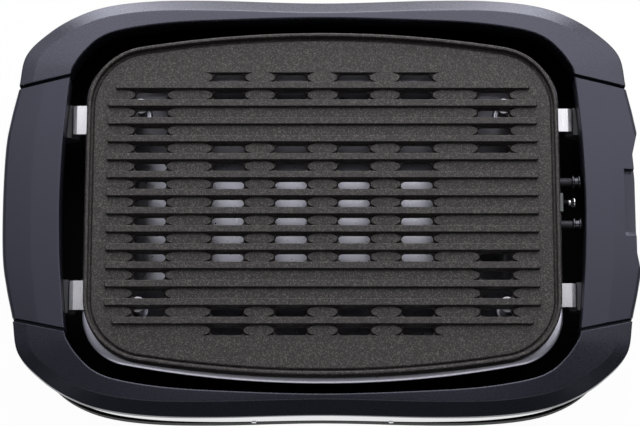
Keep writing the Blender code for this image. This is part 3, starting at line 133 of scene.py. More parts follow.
@dataclass(frozen=True)
class Canvas:
    """A material's nodes while its detail is drawn, with the shader they feed and object coordinates."""

    tree: Tree
    shader: bpy.types.Node
    where: Socket

    def feed(self, value: Socket, name: str) -> None:
        """Links a value to the shader's socket of that name."""
        self.tree.links.new(value, self.shader.inputs[name])

    def noise(self, size: float, detail: float, where: Socket | None = None) -> Socket:
        """A noise whose features measure the size, in metres."""
        inputs = {"Vector": self.where if where is None else where, "Scale": 1 / size, "Detail": detail}
        return add_node(self.tree, "ShaderNodeTexNoise", inputs).outputs["Fac"]

    def spread(
        self, value: Socket, low: float, high: float, start: float = 0.3, stop: float = 0.7
    ) -> Socket:
        """Spreads part of a value's range over another range.

        Args:
            value: The value.
            low: The new range's start.
            high: The new range's end.
            start: Where the part starts, by default where a noise's middle values do.
            stop: Where it ends.

        Returns:
            The new value.
        """
        inputs = {"Value": value, "From Min": start, "From Max": stop, "To Min": low, "To Max": high}
        return add_node(self.tree, "ShaderNodeMapRange", inputs).outputs["Result"]

    def mixed(self, share: Socket, one: str | Socket, other: str) -> Socket:
        """Mixes a hex code or a colour with another hex code, by that one's share."""
        inputs = {0: share, 6: linear(one) if isinstance(one, str) else one, 7: linear(other)}
        return add_node(self.tree, "ShaderNodeMix", inputs, data_type="RGBA").outputs[2]

    def cloud(self, pattern: Socket, one: str, other: str) -> None:
        """Clouds the base colour between two hex codes."""
        self.feed(self.mixed(self.spread(pattern, 0.0, 1.0), one, other), "Base Color")

    def wear(self, pattern: Socket, middle: float, less: float, more: float) -> None:
        """Varies the roughness about its middle value."""
        self.feed(self.spread(pattern, middle - less, middle + more), "Roughness")

    def emboss(self, pattern: Socket, depth: float) -> None:
        """Raises a pattern out of the surface by a depth in metres."""
        inputs = {"Height": pattern, "Distance": depth, "Strength": 1.0}
        self.feed(add_node(self.tree, "ShaderNodeBump", inputs).outputs["Normal"], "Normal")


@dataclass(frozen=True)
class Finish:
    """What every finish has: its name, colour, roughness, metallic value, gloss and the gloss's tint."""

    title: str
    colour: str
    roughness: float
    metallic: float = 0.0
    gloss: float = 0.5
    gloss_tint: str = "#ffffff"

    def material(self) -> bpy.types.Material:
        """The finish as a material, made once."""
        made = bpy.data.materials.get(self.title)
        if made is None:
            made = bpy.data.materials.new(self.title)
            made.use_nodes = True
            made.diffuse_color = linear(self.colour)
            tree = made.node_tree
            shader = tree.nodes["Principled BSDF"]
            shader.inputs["Base Color"].default_value = linear(self.colour)
            shader.inputs["Roughness"].default_value = self.roughness
            shader.inputs["Metallic"].default_value = self.metallic
            shader.inputs["Specular IOR Level"].default_value = self.gloss
            shader.inputs["Specular Tint"].default_value = linear(self.gloss_tint)
            where = add_node(tree, "ShaderNodeTexCoord").outputs["Object"]
            self.draw(Canvas(tree, shader, where))
        return made

    def draw(self, canvas: Canvas) -> None:
        """Adds the surface's detail to the shader."""
        raise NotImplementedError


@dataclass(frozen=True)
class MouldedPlastic(Finish):
    """ABS or nylon from a spark-eroded mould: an even, fine grain that breaks reflections up softly.

    The grain of the real mould is about 0.1 mm, too fine to show, so it is drawn coarser.
    """

    other: str = "#15161c"
    flow: float = 70 * MM
    grain: float = 0.7 * MM
    depth: float = 0.012 * MM
    polish: float = 0.05

    def draw(self, canvas: Canvas) -> None:
        """Adds clouding from the melt's flow, the mould's grain and an uneven polish."""
        canvas.cloud(canvas.noise(self.flow, 2.0), self.colour, self.other)
        grain = canvas.noise(self.grain, 3.0)
        canvas.wear(grain, self.roughness, self.polish, self.polish)
        canvas.emboss(grain, self.depth)


@dataclass(frozen=True)
class SheetMetal(Finish):
    """Rolled sheet: fine parallel lines from the rollers stretch highlights, under faint clouds."""

    other: str = "#c9cacd"
    cloud_size: float = 25 * MM
    line: float = 0.5 * MM
    stretch: tuple[float, float, float] = (0.04, 1.0, 1.0)
    depth: float = 0.004 * MM
    polish: float = 0.05

    def draw(self, canvas: Canvas) -> None:
        """Adds the rolling lines to roughness and bump, and clouds to the colour."""
        along = add_node(canvas.tree, "ShaderNodeMapping", {"Vector": canvas.where, "Scale": self.stretch})
        lines = canvas.noise(self.line, 3.0, along.outputs["Vector"])
        canvas.wear(lines, self.roughness, self.polish, self.polish)
        canvas.emboss(lines, self.depth)
        canvas.cloud(canvas.noise(self.cloud_size, 3.0), self.colour, self.other)


@dataclass(frozen=True)
class NonstickCoat(Finish):
    """A sprayed nonstick coat on cast aluminium: warm dark grey, light mineral flecks, a fine orange peel.

    The real flecks are 0.2 to 0.5 mm. They are drawn at about 0.7 mm so that they show.
    """

    dark: str = "#211e1e"
    fleck: str = "#635d5c"
    cell: float = 0.7 * MM
    bare_share: float = 0.62
    fleck_cover: float = 0.85
    patch: float = 3 * MM
    polish: float = 0.08
    peel: float = 1.6 * MM
    depth: float = 0.04 * MM

    def draw(self, canvas: Canvas) -> None:
        """Adds the flecks, the peel and a patchy sheen."""
        cells = add_node(
            canvas.tree, "ShaderNodeTexVoronoi", {"Vector": canvas.where, "Scale": 1 / self.cell}
        )
        chance = add_node(canvas.tree, "ShaderNodeSeparateColor", {"Color": cells.outputs["Color"]})
        light = canvas.spread(chance.outputs["Red"], 0.0, self.fleck_cover, self.bare_share, 1.0)
        patches = canvas.noise(self.patch, 4.0)
        ground = canvas.mixed(canvas.spread(patches, 0.0, 1.0), self.dark, self.colour)
        canvas.feed(canvas.mixed(light, ground, self.fleck), "Base Color")
        canvas.wear(patches, self.roughness, self.polish, self.polish)
        canvas.emboss(canvas.noise(self.peel, 4.0), self.depth)


@dataclass(frozen=True)
class HeatedSteel(Finish):
    """Steel that has been hot: a grey oxide with brown and blue clouds, matt where it is thickest."""

    brown: str = "#4a3d36"
    cloud_size: float = 14 * MM
    grain: float = 0.6 * MM
    depth: float = 0.01 * MM

    def draw(self, canvas: Canvas) -> None:
        """Adds the oxide's clouds to colour and roughness, and its grain to the bump."""
        clouds = canvas.noise(self.cloud_size, 4.0)
        canvas.cloud(clouds, self.colour, self.brown)
        canvas.wear(clouds, self.roughness, 0.08, 0.1)
        canvas.emboss(canvas.noise(self.grain, 2.0), self.depth)


@dataclass(frozen=True)
class ShadePaintedSteel(Finish):
    """Polished steel with painted shade: black and hardly shining on one side of a line, standing in for the
    shadow and dark reflection in the neck.
    """

    black: str = "#1a1a1c"
    shade_end_x: float = 185.6 * MM
    shine_start_x: float = 187.6 * MM
    cloud_size: float = 2 * MM
    waver: float = 0.4 * MM
    shade_roughness: float = 0.5

    def draw(self, canvas: Canvas) -> None:
        """Adds the painted shade along +X to the colour and the roughness, with a clouded edge."""
        shift = canvas.spread(canvas.noise(self.cloud_size, 3.0), -self.waver, self.waver)
        axes = add_node(canvas.tree, "ShaderNodeSeparateXYZ", {"Vector": canvas.where})
        edge = add_node(canvas.tree, "ShaderNodeMath", {0: axes.outputs["X"], 1: shift}, operation="ADD")
        lit_share = canvas.spread(edge.outputs[0], 0.0, 1.0, self.shade_end_x, self.shine_start_x)
        # Painted shade: black and matt below the line, standing in for the neck's shadow and dark reflection
        canvas.feed(canvas.mixed(lit_share, self.black, self.colour), "Base Color")
        canvas.feed(canvas.spread(lit_share, self.shade_roughness, self.roughness, 0.0, 1.0), "Roughness")


# Satin ABS: blue-black, a soft broad bluish sheen
HANDLE_ABS = MouldedPlastic(
    "satin_navy_abs", "#15161f", 0.42, gloss=0.75, gloss_tint="#e6e7ff", other="#181924"
)
# The same ABS from a polished mould: deeper, with a clear soft reflection
RIM_ABS = MouldedPlastic(
    "polished_navy_abs", "#101118", 0.3, gloss=0.68, gloss_tint="#e6e7ff", other="#12131b",
    grain=1.2 * MM, depth=0.008 * MM,
)
# Glass-filled nylon: black, and drawn far darker than black nylon is, as painted shade, so that the gaps read
# as deep shade
BASE_NYLON = MouldedPlastic(
    "black_nylon_darkened_as_painted_shade", "#050506", 0.6, gloss=0.1, other="#070708", depth=0.02 * MM
)
# Grey heat-proof nylon: plain and a little lighter than what it hangs in
REST_NYLON = MouldedPlastic("grey_heatproof_nylon", "#45454a", 0.55, other="#4c4c52", depth=0.02 * MM)
# Moulded rubber: matt black that greys with dust
FOOT_RUBBER = MouldedPlastic(
    "matt_foot_rubber", "#0f0f10", 0.85, other="#1a1a1b", grain=1 * MM, depth=0.04 * MM
)
# Polished stainless strip: mirrors what is round it
TRIM_STEEL = SheetMetal("polished_stainless_strip", "#e4e4e6", 0.14, 1.0, other="#dcdcdf", polish=0.03)
# Pressed bright aluminium: a pale blurred sheen
PAN_SHEET = SheetMetal(
    "pressed_bright_aluminium", "#d8d7e3", 0.3, 1.0, other="#d1d0dd", stretch=(1.0, 1.0, 1.0),
    line=3 * MM, depth=0.002 * MM, polish=0.03,
)
# Brushed stainless strap: neutral and bright
STRAP_STEEL = SheetMetal(
    "brushed_stainless_strap", "#bdbcc0", 0.3, 1.0, other="#b2b1b6", stretch=(1.0, 0.05, 1.0),
    line=0.6 * MM,
)
# Zinc plate: a duller, slightly blue grey
ZINC_PLATE = SheetMetal(
    "zinc_plated_steel", "#a9abb0", 0.38, 1.0, other="#989a9f", stretch=(1.0, 1.0, 1.0)
)
# Dark turned steel: nearly black, with sharp glints on its edges
COLLAR_STEEL = SheetMetal(
    "dark_turned_steel", "#55555b", 0.26, 1.0, other="#48484e", stretch=(1.0, 0.2, 0.2), line=0.4 * MM
)
# Nonstick over a casting: warm dark grey, finely flecked
CAST_COAT = NonstickCoat("speckled_nonstick_casting", "#2e2a2a", 0.55, gloss=0.43)
# Sheath steel that has glowed: brown and grey clouds
SHEATH_STEEL = HeatedSteel("oxidised_sheath_steel", "#3f4046", 0.42, 0.9)
# The same steel where it stays cooler: plain dark grey
PIN_STEEL = HeatedSteel("darkened_pin_steel", "#4c4c52", 0.6, 0.9, brown="#424247")
# Zinc in a duller, darker grey than the screws' zinc, beside the bright mouth next to it
BLOCK_ZINC = SheetMetal(
    "dulled_zinc_block", "#6c6f70", 0.5, 1.0, other="#626566", stretch=(1.0, 1.0, 1.0)
)
# Polished steel with painted shade: its neck is painted black and matt for its shadow and dark reflection,
# and only its mouth shines
SLEEVE_STEEL = ShadePaintedSteel("polished_sleeve_with_painted_shade", "#e4e4e6", 0.14, 1.0)


# Modelling


def select_only(*objects: Obj) -> None:
    """Selects these objects alone and makes the last one active.

    Args:
        objects: The objects.
    """
    bpy.ops.object.select_all(action="DESELECT")
    for obj in objects:
        obj.select_set(True)
    bpy.context.view_layer.objects.active = objects[-1]


def named(obj: Obj, name: str) -> Obj:
    """Gives the object and its mesh their name.

    Args:
        obj: The object.
        name: The name.

    Returns:
        The same object.
    """
    obj.name = name
    obj.data.name = name
    return obj


def drawn_out(name: str, rings: Sequence[Ring]) -> Obj:
    """Draws a body out of a filled circle, ring by ring, each a new extrusion of the last face.

    Args:
        name: The object's name.
        rings: Equal lists of points. The first and the last are capped.

    Returns:
        The closed object, its normals outwards.
    """
    bpy.ops.object.select_all(action="DESELECT")
    bpy.ops.mesh.primitive_circle_add(vertices=len(rings[0]), radius=MM, fill_type="NGON")
    obj = named(bpy.context.object, name)
    bpy.ops.object.mode_set(mode="EDIT")
    mesh = bmesh.from_edit_mesh(obj.data)
    order = mesh.verts.layers.int.new("order")
    for number, vert in enumerate(mesh.verts):
        vert[order] = number
        vert.co = rings[0][number]
    bmesh.update_edit_mesh(obj.data)
    for ring in rings[1:]:
        bpy.ops.mesh.extrude_region()
        mesh = bmesh.from_edit_mesh(obj.data)
        order = mesh.verts.layers.int["order"]
        for vert in mesh.verts:
            if vert.select:
                vert.co = ring[vert[order]]
        bmesh.update_edit_mesh(obj.data)
    bpy.ops.mesh.select_all(action="SELECT")
    bpy.ops.mesh.normals_make_consistent(inside=False)
    mesh = bmesh.from_edit_mesh(obj.data)
    mesh.verts.layers.int.remove(mesh.verts.layers.int["order"])
    bmesh.update_edit_mesh(obj.data)
    bpy.ops.object.mode_set(mode="OBJECT")
    return obj


def circle(radius: float, height: float, count: int) -> Ring:
    """A level ring round the origin."""
    return [
        Vector((radius * math.cos(TURN * i / count), radius * math.sin(TURN * i / count), height))
        for i in range(count)
    ]


def laid(obj: Obj, place: Sequence[float], along_x: bool = False) -> Obj:
    """Puts a piece made at the origin in its place, with its axis upright or along +X.

    Args:
        obj: The piece.
        place: Where its origin goes.
        along_x: Turns its +Z to +X first.

    Returns:
        The same piece, its place in its mesh.
    """
    select_only(obj)
    obj.rotation_euler = (0, TURN / 4 if along_x else 0, 0)
    obj.location = place
    bpy.ops.object.transform_apply(location=True, rotation=True, scale=True)
    return obj


def rounded(corners: Corners, steps: int = 4, closed: bool = True) -> list[tuple[float, float]]:
    """Rounds the corners of a section.

    Args:
        corners: Points (across, up, radius). A radius of zero leaves the corner.
        steps: How many faces a round corner gets.
        closed: Whether the last corner runs on to the first.

    Returns:
        The points (across, up) of the rounded section.
    """
    points: list[tuple[float, float]] = []
    count = len(corners)
    for i, (across, up, radius) in enumerate(corners):
        here = Vector((across, up))
        if radius == 0 or (not closed and i in (0, count - 1)):
            points.append((across, up))
            continue
        before = Vector(corners[i - 1][:2]) - here
        after = Vector(corners[(i + 1) % count][:2]) - here
        half = before.angle(after) / 2
        reach = min(radius / math.tan(half), 0.46 * before.length, 0.46 * after.length)
        start = here + reach * before.normalized()
        end = here + reach * after.normalized()
        for k in range(steps + 1):
            t = k / steps
            points.append(tuple((1 - t) ** 2 * start + 2 * t * (1 - t) * here + t**2 * end))
    return points


def turned(name: str, corners: Corners, steps: int = 4, sides: int = 40) -> Obj:
    """A solid turned piece about Z, drawn out from an open profile's corners (radius, height, rounding)."""
    profile = rounded(corners, steps, closed=False)
    return drawn_out(name, [circle(radius, height, sides) for radius, height in profile])


def spun(name: str, corners: Corners, steps: int = 4, sides: int = 36) -> Obj:
    """A bored turned piece about Z, spun from a closed profile.

    Args:
        name: The object's name.
        corners: The profile's corners (radius, height, rounding) round its wall.
        steps: How many faces a round corner gets.
        sides: How many sides the piece gets.

    Returns:
        The closed object, its normals outwards.
    """
    profile = rounded(corners, steps)
    bpy.ops.object.select_all(action="DESELECT")
    bpy.ops.mesh.primitive_circle_add(vertices=len(profile), radius=MM, fill_type="NOTHING")
    obj = named(bpy.context.object, name)
    bpy.ops.object.mode_set(mode="EDIT")
    mesh = bmesh.from_edit_mesh(obj.data)
    for vert, (radius, height) in zip(mesh.verts, profile):
        vert.co = (radius, 0, height)
    bmesh.update_edit_mesh(obj.data)
    bpy.ops.mesh.select_all(action="SELECT")
    bpy.ops.mesh.spin(steps=sides, angle=TURN, center=(0, 0, 0), axis=(0, 0, 1))
    bpy.ops.mesh.select_all(action="SELECT")
    bpy.ops.mesh.remove_doubles(threshold=MM / 200)
    bpy.ops.mesh.normals_make_consistent(inside=False)
    bpy.ops.object.mode_set(mode="OBJECT")
    return obj


def block(name: str, low: Sequence[float], high: Sequence[float], edge: float = 0.0) -> Obj:
    """A box between two corners, with its edges rounded by a bevel.

    Args:
        name: The object's name.
        low: Its lowest corner.
        high: Its highest corner.
        edge: The edges' radius.

    Returns:
        The object.
    """
    bpy.ops.object.select_all(action="DESELECT")
    middle = [(a + b) / 2 for a, b in zip(low, high)]
    bpy.ops.mesh.primitive_cube_add(size=1, location=middle, scale=[b - a for a, b in zip(low, high)])
    obj = named(bpy.context.object, name)
    bpy.ops.object.transform_apply(location=True, rotation=True, scale=True)
    if edge:
        bpy.ops.object.mode_set(mode="EDIT")
        bpy.ops.mesh.select_all(action="SELECT")
        bpy.ops.mesh.bevel(offset=edge, segments=3, affect="EDGES")
        bpy.ops.object.mode_set(mode="OBJECT")
    return obj


def apply_modifier(obj: Obj, kind: str, **settings) -> None:
    """Adds a modifier with its settings and applies it.

    Args:
        obj: The object.
        kind: Blender's name for the modifier.
        settings: Its settings.
    """
    select_only(obj)
    modifier = obj.modifiers.new(kind, kind)
    for name, value in settings.items():
        setattr(modifier, name, value)
    bpy.ops.object.modifier_apply(modifier=modifier.name)


def combine(obj: Obj, tools: Sequence[Obj], operation: str) -> None:
    """Cuts tools out of a piece or joins them to it, and removes them.

    Args:
        obj: The piece.
        tools: Closed bodies, joined into one before the cut.
        operation: DIFFERENCE or UNION.
    """
    select_only(*tools)
    if len(tools) > 1:
        bpy.ops.object.join()
    tool = bpy.context.view_layer.objects.active
    apply_modifier(obj, "BOOLEAN", object=tool, operation=operation, solver="EXACT")
    bpy.data.objects.remove(tool, do_unlink=True)


def softened(obj: Obj, width: float, limit: float = 50.0, sharp: float = 35.0) -> Obj:
    """Breaks the edges of a piece and smooths it.

    Args:
        obj: The piece.
        width: The edges' width. Zero leaves them.
        limit: The least angle of an edge that is broken, in degrees.
        sharp: The angle from which an edge stays sharp, in degrees.

    Returns:
        The same piece.
    """
    if width:
        apply_modifier(
            obj, "BEVEL", width=width, segments=2, limit_method="ANGLE", angle_limit=math.radians(limit)
        )
    select_only(obj)
    bpy.ops.object.shade_smooth_by_angle(angle=math.radians(sharp))
    apply_modifier(obj, "WEIGHTED_NORMAL", keep_sharp=True, weight=80)
    return obj


def copied(obj: Obj, name: str, shift: Sequence[float]) -> Obj:
    """A copy with its own mesh, moved by a shift that goes into the mesh.

    Args:
        obj: What is copied.
        name: The copy's name.
        shift: How far it moves.

    Returns:
        The copy.
    """
    select_only(obj)
    bpy.ops.object.duplicate(linked=False)
    return laid(named(bpy.context.object, name), shift)


@dataclass(frozen=True)
class Outline:
    """A closed plan through one quarter's shares of the half sizes, mirrored into the other quarters."""

    shares: tuple[tuple[float, float], ...]
    half_width: float
    half_depth: float

    @cached_property
    def points(self) -> list[Vector]:
        """The plan's points, counted round from the middle of the right side."""
        quarter = [Vector((x * self.half_width, y * self.half_depth)) for x, y in self.shares]
        half = quarter + [Vector((-p.x, p.y)) for p in reversed(quarter[:-1])]
        return half + [Vector((p.x, -p.y)) for p in reversed(half[1:-1])]

    def at(self, station: float) -> Vector:
        """The smooth curve's point at a whole or broken station number.

        Args:
            station: How many of the plan's points it lies past the first one.

        Returns:
            The point.
        """
        whole = math.floor(station)
        t = station - whole
        a, b, c, d = (self.points[(whole + i) % len(self.points)] for i in (-1, 0, 1, 2))
        square = 2 * a - 5 * b + 4 * c - d
        cube = 3 * b - a - 3 * c + d
        return 0.5 * (2 * b + (c - a) * t + square * t**2 + cube * t**3)

    def along(self, station: float) -> Vector:
        """The curve's direction."""
        return (self.at(station + 0.01) - self.at(station - 0.01)).normalized()

    def inset(self, station: float, distance: float) -> Vector:
        """A point inside the curve by a distance."""
        along = self.along(station)
        return self.at(station) - distance * Vector((along.y, -along.x))


def stations(first: float, last: float, steps: int) -> list[float]:
    """Station numbers at even steps, both ends among them."""
    return [first + (last - first) * i / steps for i in range(steps + 1)]


def raised(point: Vector, height: float) -> Vector:
    """A plan's point at a height."""
    return Vector((point.x, point.y, height))


@dataclass(frozen=True)
class BowedPlan:
    """A plan with bowed sides, bowed ends and round corners, each an arc that runs on into the next."""

    half_width: float
    half_depth: float
    side_bow: float
    end_bow: float
    corner: float
    side_steps: int = 4
    corner_steps: int = 22
    end_steps: int = 18

    @cached_property
    def quarter(self) -> list[tuple[Vector, Vector]]:
        """Points and outward normals from the middle of the side to the middle of the end."""
        side_radius = (self.half_depth**2 + self.side_bow**2) / (2 * self.side_bow)
        end_radius = (self.half_width**2 + self.end_bow**2) / (2 * self.end_bow)
        side_centre = Vector((self.half_width - side_radius, 0))
        end_centre = Vector((0, self.half_depth - end_radius))
        reach_side = side_radius - self.corner
        reach_end = end_radius - self.corner
        between = end_centre - side_centre
        near = (reach_side**2 - reach_end**2 + between.length**2) / (2 * between.length)
        rise = math.sqrt(reach_side**2 - near**2)
        unit = between.normalized()
        both = [side_centre + near * unit + s * rise * Vector((-unit.y, unit.x)) for s in (1, -1)]
        corner_centre = max(both, key=lambda p: p.x + p.y)
        side_angle = math.atan2(*(corner_centre - side_centre).yx)
        end_angle = math.atan2(*(corner_centre - end_centre).yx)
        points = []
        for centre, radius, start, stop, steps in (
            (side_centre, side_radius, 0, side_angle, self.side_steps),
            (corner_centre, self.corner, side_angle, end_angle, self.corner_steps),
            (end_centre, end_radius, end_angle, TURN / 4, self.end_steps),
        ):
            for i in range(steps):
                angle = start + (stop - start) * i / steps
                normal = Vector((math.cos(angle), math.sin(angle)))
                points.append((centre + radius * normal, normal))
        points.append((end_centre + Vector((0, end_radius)), Vector((0, 1))))
        return points

    def ring(self, inset: float, height: float) -> Ring:
        """The whole plan, drawn in by an inset, at a height.

        Args:
            inset: How far inside the plan it lies.
            height: Its height above the table.

        Returns:
            The ring.
        """
        half = self.quarter + [
            (Vector((-p.x, p.y)), Vector((-n.x, n.y))) for p, n in reversed(self.quarter[:-1])
        ]
        whole = half + [(Vector((p.x, -p.y)), Vector((n.x, -n.y))) for p, n in reversed(half[1:-1])]
        return [raised(p - inset * n, height) for p, n in whole]


def bent_rings(one: Ring, corner: Ring, other: Ring, steps: int) -> list[Ring]:
    """Rings that turn smoothly from one ring to another round a corner ring."""
    return [
        [
            (1 - t) ** 2 * a + 2 * t * (1 - t) * c + t**2 * b
            for a, c, b in zip(one, corner, other)
        ]
        for t in (k / steps for k in range(steps + 1))
    ]


def part_way(one: Ring, other: Ring, share: float) -> Ring:
    """The ring at a share of the way from one to the other."""
    return [a.lerp(b, share) for a, b in zip(one, other)]


def swept_rings(path: Sequence[Vector], section: Profile) -> list[Ring]:
    """Stands a section of (sideways, up) points on each point of a path in plan.

    Args:
        path: Points in plan.
        section: The section's points, their heights above the table.

    Returns:
        One ring for each point of the path.
    """
    rings = []
    for i, point in enumerate(path):
        ahead = path[min(i + 1, len(path) - 1)] - point
        behind = point - path[max(i - 1, 0)]
        direction = (ahead.normalized() + behind.normalized()).normalized()
        side = Vector((-direction.y, direction.x))
        rings.append([raised(point + across * side, up) for across, up in section])
    return rings


def drawn_across(name: str, section: Profile, side: float, middle: float, half: float) -> Obj:
    """Draws a section of (out, up) points out along Y, mirrored to the left where the side is -1."""
    rings = [[Vector((side * x, middle + s * half, up)) for x, up in section] for s in (-1, 1)]
    return drawn_out(name, rings)


def in_mm(*rows: Sequence[float]) -> Corners:
    """Rows of millimetres as rows of metres."""
    return tuple(tuple(value * MM for value in row) for row in rows)


def corners_of(x: float, y: float) -> list[tuple[str, float, float]]:
    """The four corners' names and places."""
    return [
        (f"{'back' if sy > 0 else 'front'}_{'right' if sx > 0 else 'left'}", sx * x, sy * y)
        for sx in (-1, 1)
        for sy in (-1, 1)
    ]


def dress_piece(obj: Obj, nodes: Sequence[str], carrier: Carrier, finish: Finish) -> None:
    """Gives a piece its finish and sets it on its body in place of CAD nodes.

    Args:
        obj: The piece.
        nodes: The CAD nodes that it stands for.
        carrier: The body that it moves with.
        finish: Its finish.
    """
    obj.data.materials.clear()
    obj.data.materials.append(finish.material())
    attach(obj, carrier.value)
    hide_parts(*nodes)
    log.info("%s: %d faces, %s", obj.name, len(obj.data.polygons), finish.title)


@dataclass
class Assembly:
    """Pieces on one body. Its build makes and keeps them, and dress gives them their looks."""

    made: list[tuple[Obj, str, Slot, Finish]] = field(default_factory=list, init=False)
    carrier: ClassVar[Carrier] = Carrier.BASE

    def build(self) -> None:
        """Makes and keeps the pieces."""
        raise NotImplementedError

    def keep(self, obj: Obj, node: str, slot: Slot, finish: Finish) -> None:
        """Keeps a finished piece with the CAD node that it stands for."""
        self.made.append((obj, node, slot, finish))

    def keep_at_corners(
        self, first: Obj, node: str, place: tuple[float, float], slot: Slot, finish: Finish
    ) -> None:
        """Keeps a copy of a piece in each of the four corners, and removes the first one.

        Args:
            first: The piece at the origin. Its copies' names begin with its name.
            node: What the CAD nodes' names begin with.
            place: The corners' distances along X and Y.
            slot: The record's material slot.
            finish: The finish.
        """
        for corner, x, y in corners_of(*place):
            obj = copied(first, f"{first.name}_{corner}", (x, y, 0))
            self.keep(obj, f"{node}_{corner}", slot, finish)
        bpy.data.objects.remove(first, do_unlink=True)

    def dress(self) -> None:
        """Gives each piece its finish and sets it on its body."""
        for obj, node, slot, finish in self.made:
            dress_piece(obj, [node], self.carrier, finish)


# The moulded body


@dataclass(frozen=True)
class BodyPlan:
    """Plans and heights that the base, the rims and the handles share."""

    top: float = 92 * MM
    split: float = 75 * MM
    lip_bottom: float = 70 * MM
    wall: float = 2.6 * MM
    gap: float = 0.3 * MM
    seam: float = 3 * MM
    quarter_steps: int = 10
    seam_steps: int = 3
    outer: Outline = Outline(
        (
            (1.0, 0.0), (0.9954, 0.259), (0.9805, 0.408), (0.9588, 0.554), (0.9385, 0.713), (0.8649, 0.831),
            (0.7775, 0.914), (0.6778, 0.966), (0.5322, 0.9945), (0.3326, 1.0), (0.0, 0.9895),
        ),
        240.5 * MM,
        161.9 * MM,
    )
    well: Outline = Outline(
        (
            (1.0, 0.0), (0.994, 0.296), (0.9853, 0.4545), (0.9696, 0.677), (0.952, 0.743), (0.9128, 0.817),
            (0.857, 0.885), (0.7759, 0.9284), (0.6136, 0.965), (0.4057, 0.9842), (0.0, 1.0),
        ),
        197.2 * MM,
        145.2 * MM,
    )
    belt: Outline = Outline(
        (
            (1.0, 0.0), (0.9982, 0.276), (0.9955, 0.46), (0.9891, 0.5955), (0.9736, 0.7182), (0.9364, 0.8072),
            (0.8545, 0.9012), (0.7409, 0.9638), (0.5818, 0.9939), (0.3636, 1.0), (0.0, 0.9896),
        ),
        220 * MM,
        162.9 * MM,
    )

    def pulled_back(self, outline: Outline, station: float, first: float, last: float) -> Vector:
        """A point of an outline, drawn back from the seam by half its gap at either end.

        Args:
            outline: The outline.
            station: The point's station.
            first: The station of the piece's first end.
            last: The station of its other end.

        Returns:
            The point.
        """
        point = outline.at(station)
        if station == first:
            return point + self.seam / 2 * outline.along(station)
        if station == last:
            return point - self.seam / 2 * outline.along(station)
        return point


BODY = BodyPlan()


@dataclass
class Rim(Assembly):
    """One of the two polished mouldings that run from handle to handle."""

    name: str
    node: str
    middle: int
    edge_low: float = 79 * MM
    edge_high: float = 88 * MM
    inner_low: float = 88 * MM
    crease: float = 10.5 * MM
    band_fall: float = 0.5 * MM
    crown: float = 0.4 * MM
    skirt_roof: float = 1.2 * MM
    edge_break: float = 0.4 * MM
    steps: int = 126

    def section(self, station: float, first: float, last: float) -> Ring:
        """The rim's rounded section at a station between its two ends.

        Args:
            station: Where the section stands.
            first: The station of the first end.
            last: The station of the other end.

        Returns:
            The section.
        """
        outer = BODY.pulled_back(BODY.outer, station, first, last)
        inner = BODY.pulled_back(BODY.well, station, first, last)
        across = (inner - outer).normalized()
        width = (inner - outer).length
        seam_outer = BODY.outer.at(BODY.seam_steps).x
        seam_inner = BODY.well.at(BODY.seam_steps).x
        edge = self.edge_low + (self.edge_high - self.edge_low) * min(1.0, (outer.x / seam_outer) ** 2)
        inner_top = self.inner_low + (BODY.top - self.inner_low) * min(1.0, (inner.x / seam_inner) ** 2)
        straight = edge + (inner_top - edge) * self.crease / width + self.crown
        fade = min(1.0, abs(outer.x / seam_outer) ** 4)
        crease_top = (1 - fade) * (inner_top - self.band_fall) + fade * straight
        foot = BODY.split + BODY.gap
        corners = (
            (0, foot, 0.3 * MM),
            (0, edge, 1.2 * MM),
            (self.crease, crease_top, 3.5 * MM),
            (width, inner_top, 1.3 * MM),
            (width, BODY.lip_bottom, 0.5 * MM),
            (width - BODY.wall, BODY.lip_bottom, 0.5 * MM),
            (width - BODY.wall, crease_top - BODY.wall, 1 * MM),
            (BODY.wall, edge - self.skirt_roof, 0.5 * MM),
            (BODY.wall, foot, 0.3 * MM),
        )
        return [raised(outer + a * across, up) for a, up in rounded(corners)]

    def build(self) -> None:
        """Draws the rim out from seam to seam."""
        reach = BODY.quarter_steps - BODY.seam_steps
        first, last = self.middle - reach, self.middle + reach
        rings = [self.section(s, first, last) for s in stations(first, last, self.steps)]
        rim = softened(drawn_out(self.name, rings), self.edge_break, limit=60)
        self.keep(rim, self.node, Slot.GLOSS_NAVY, RIM_ABS)


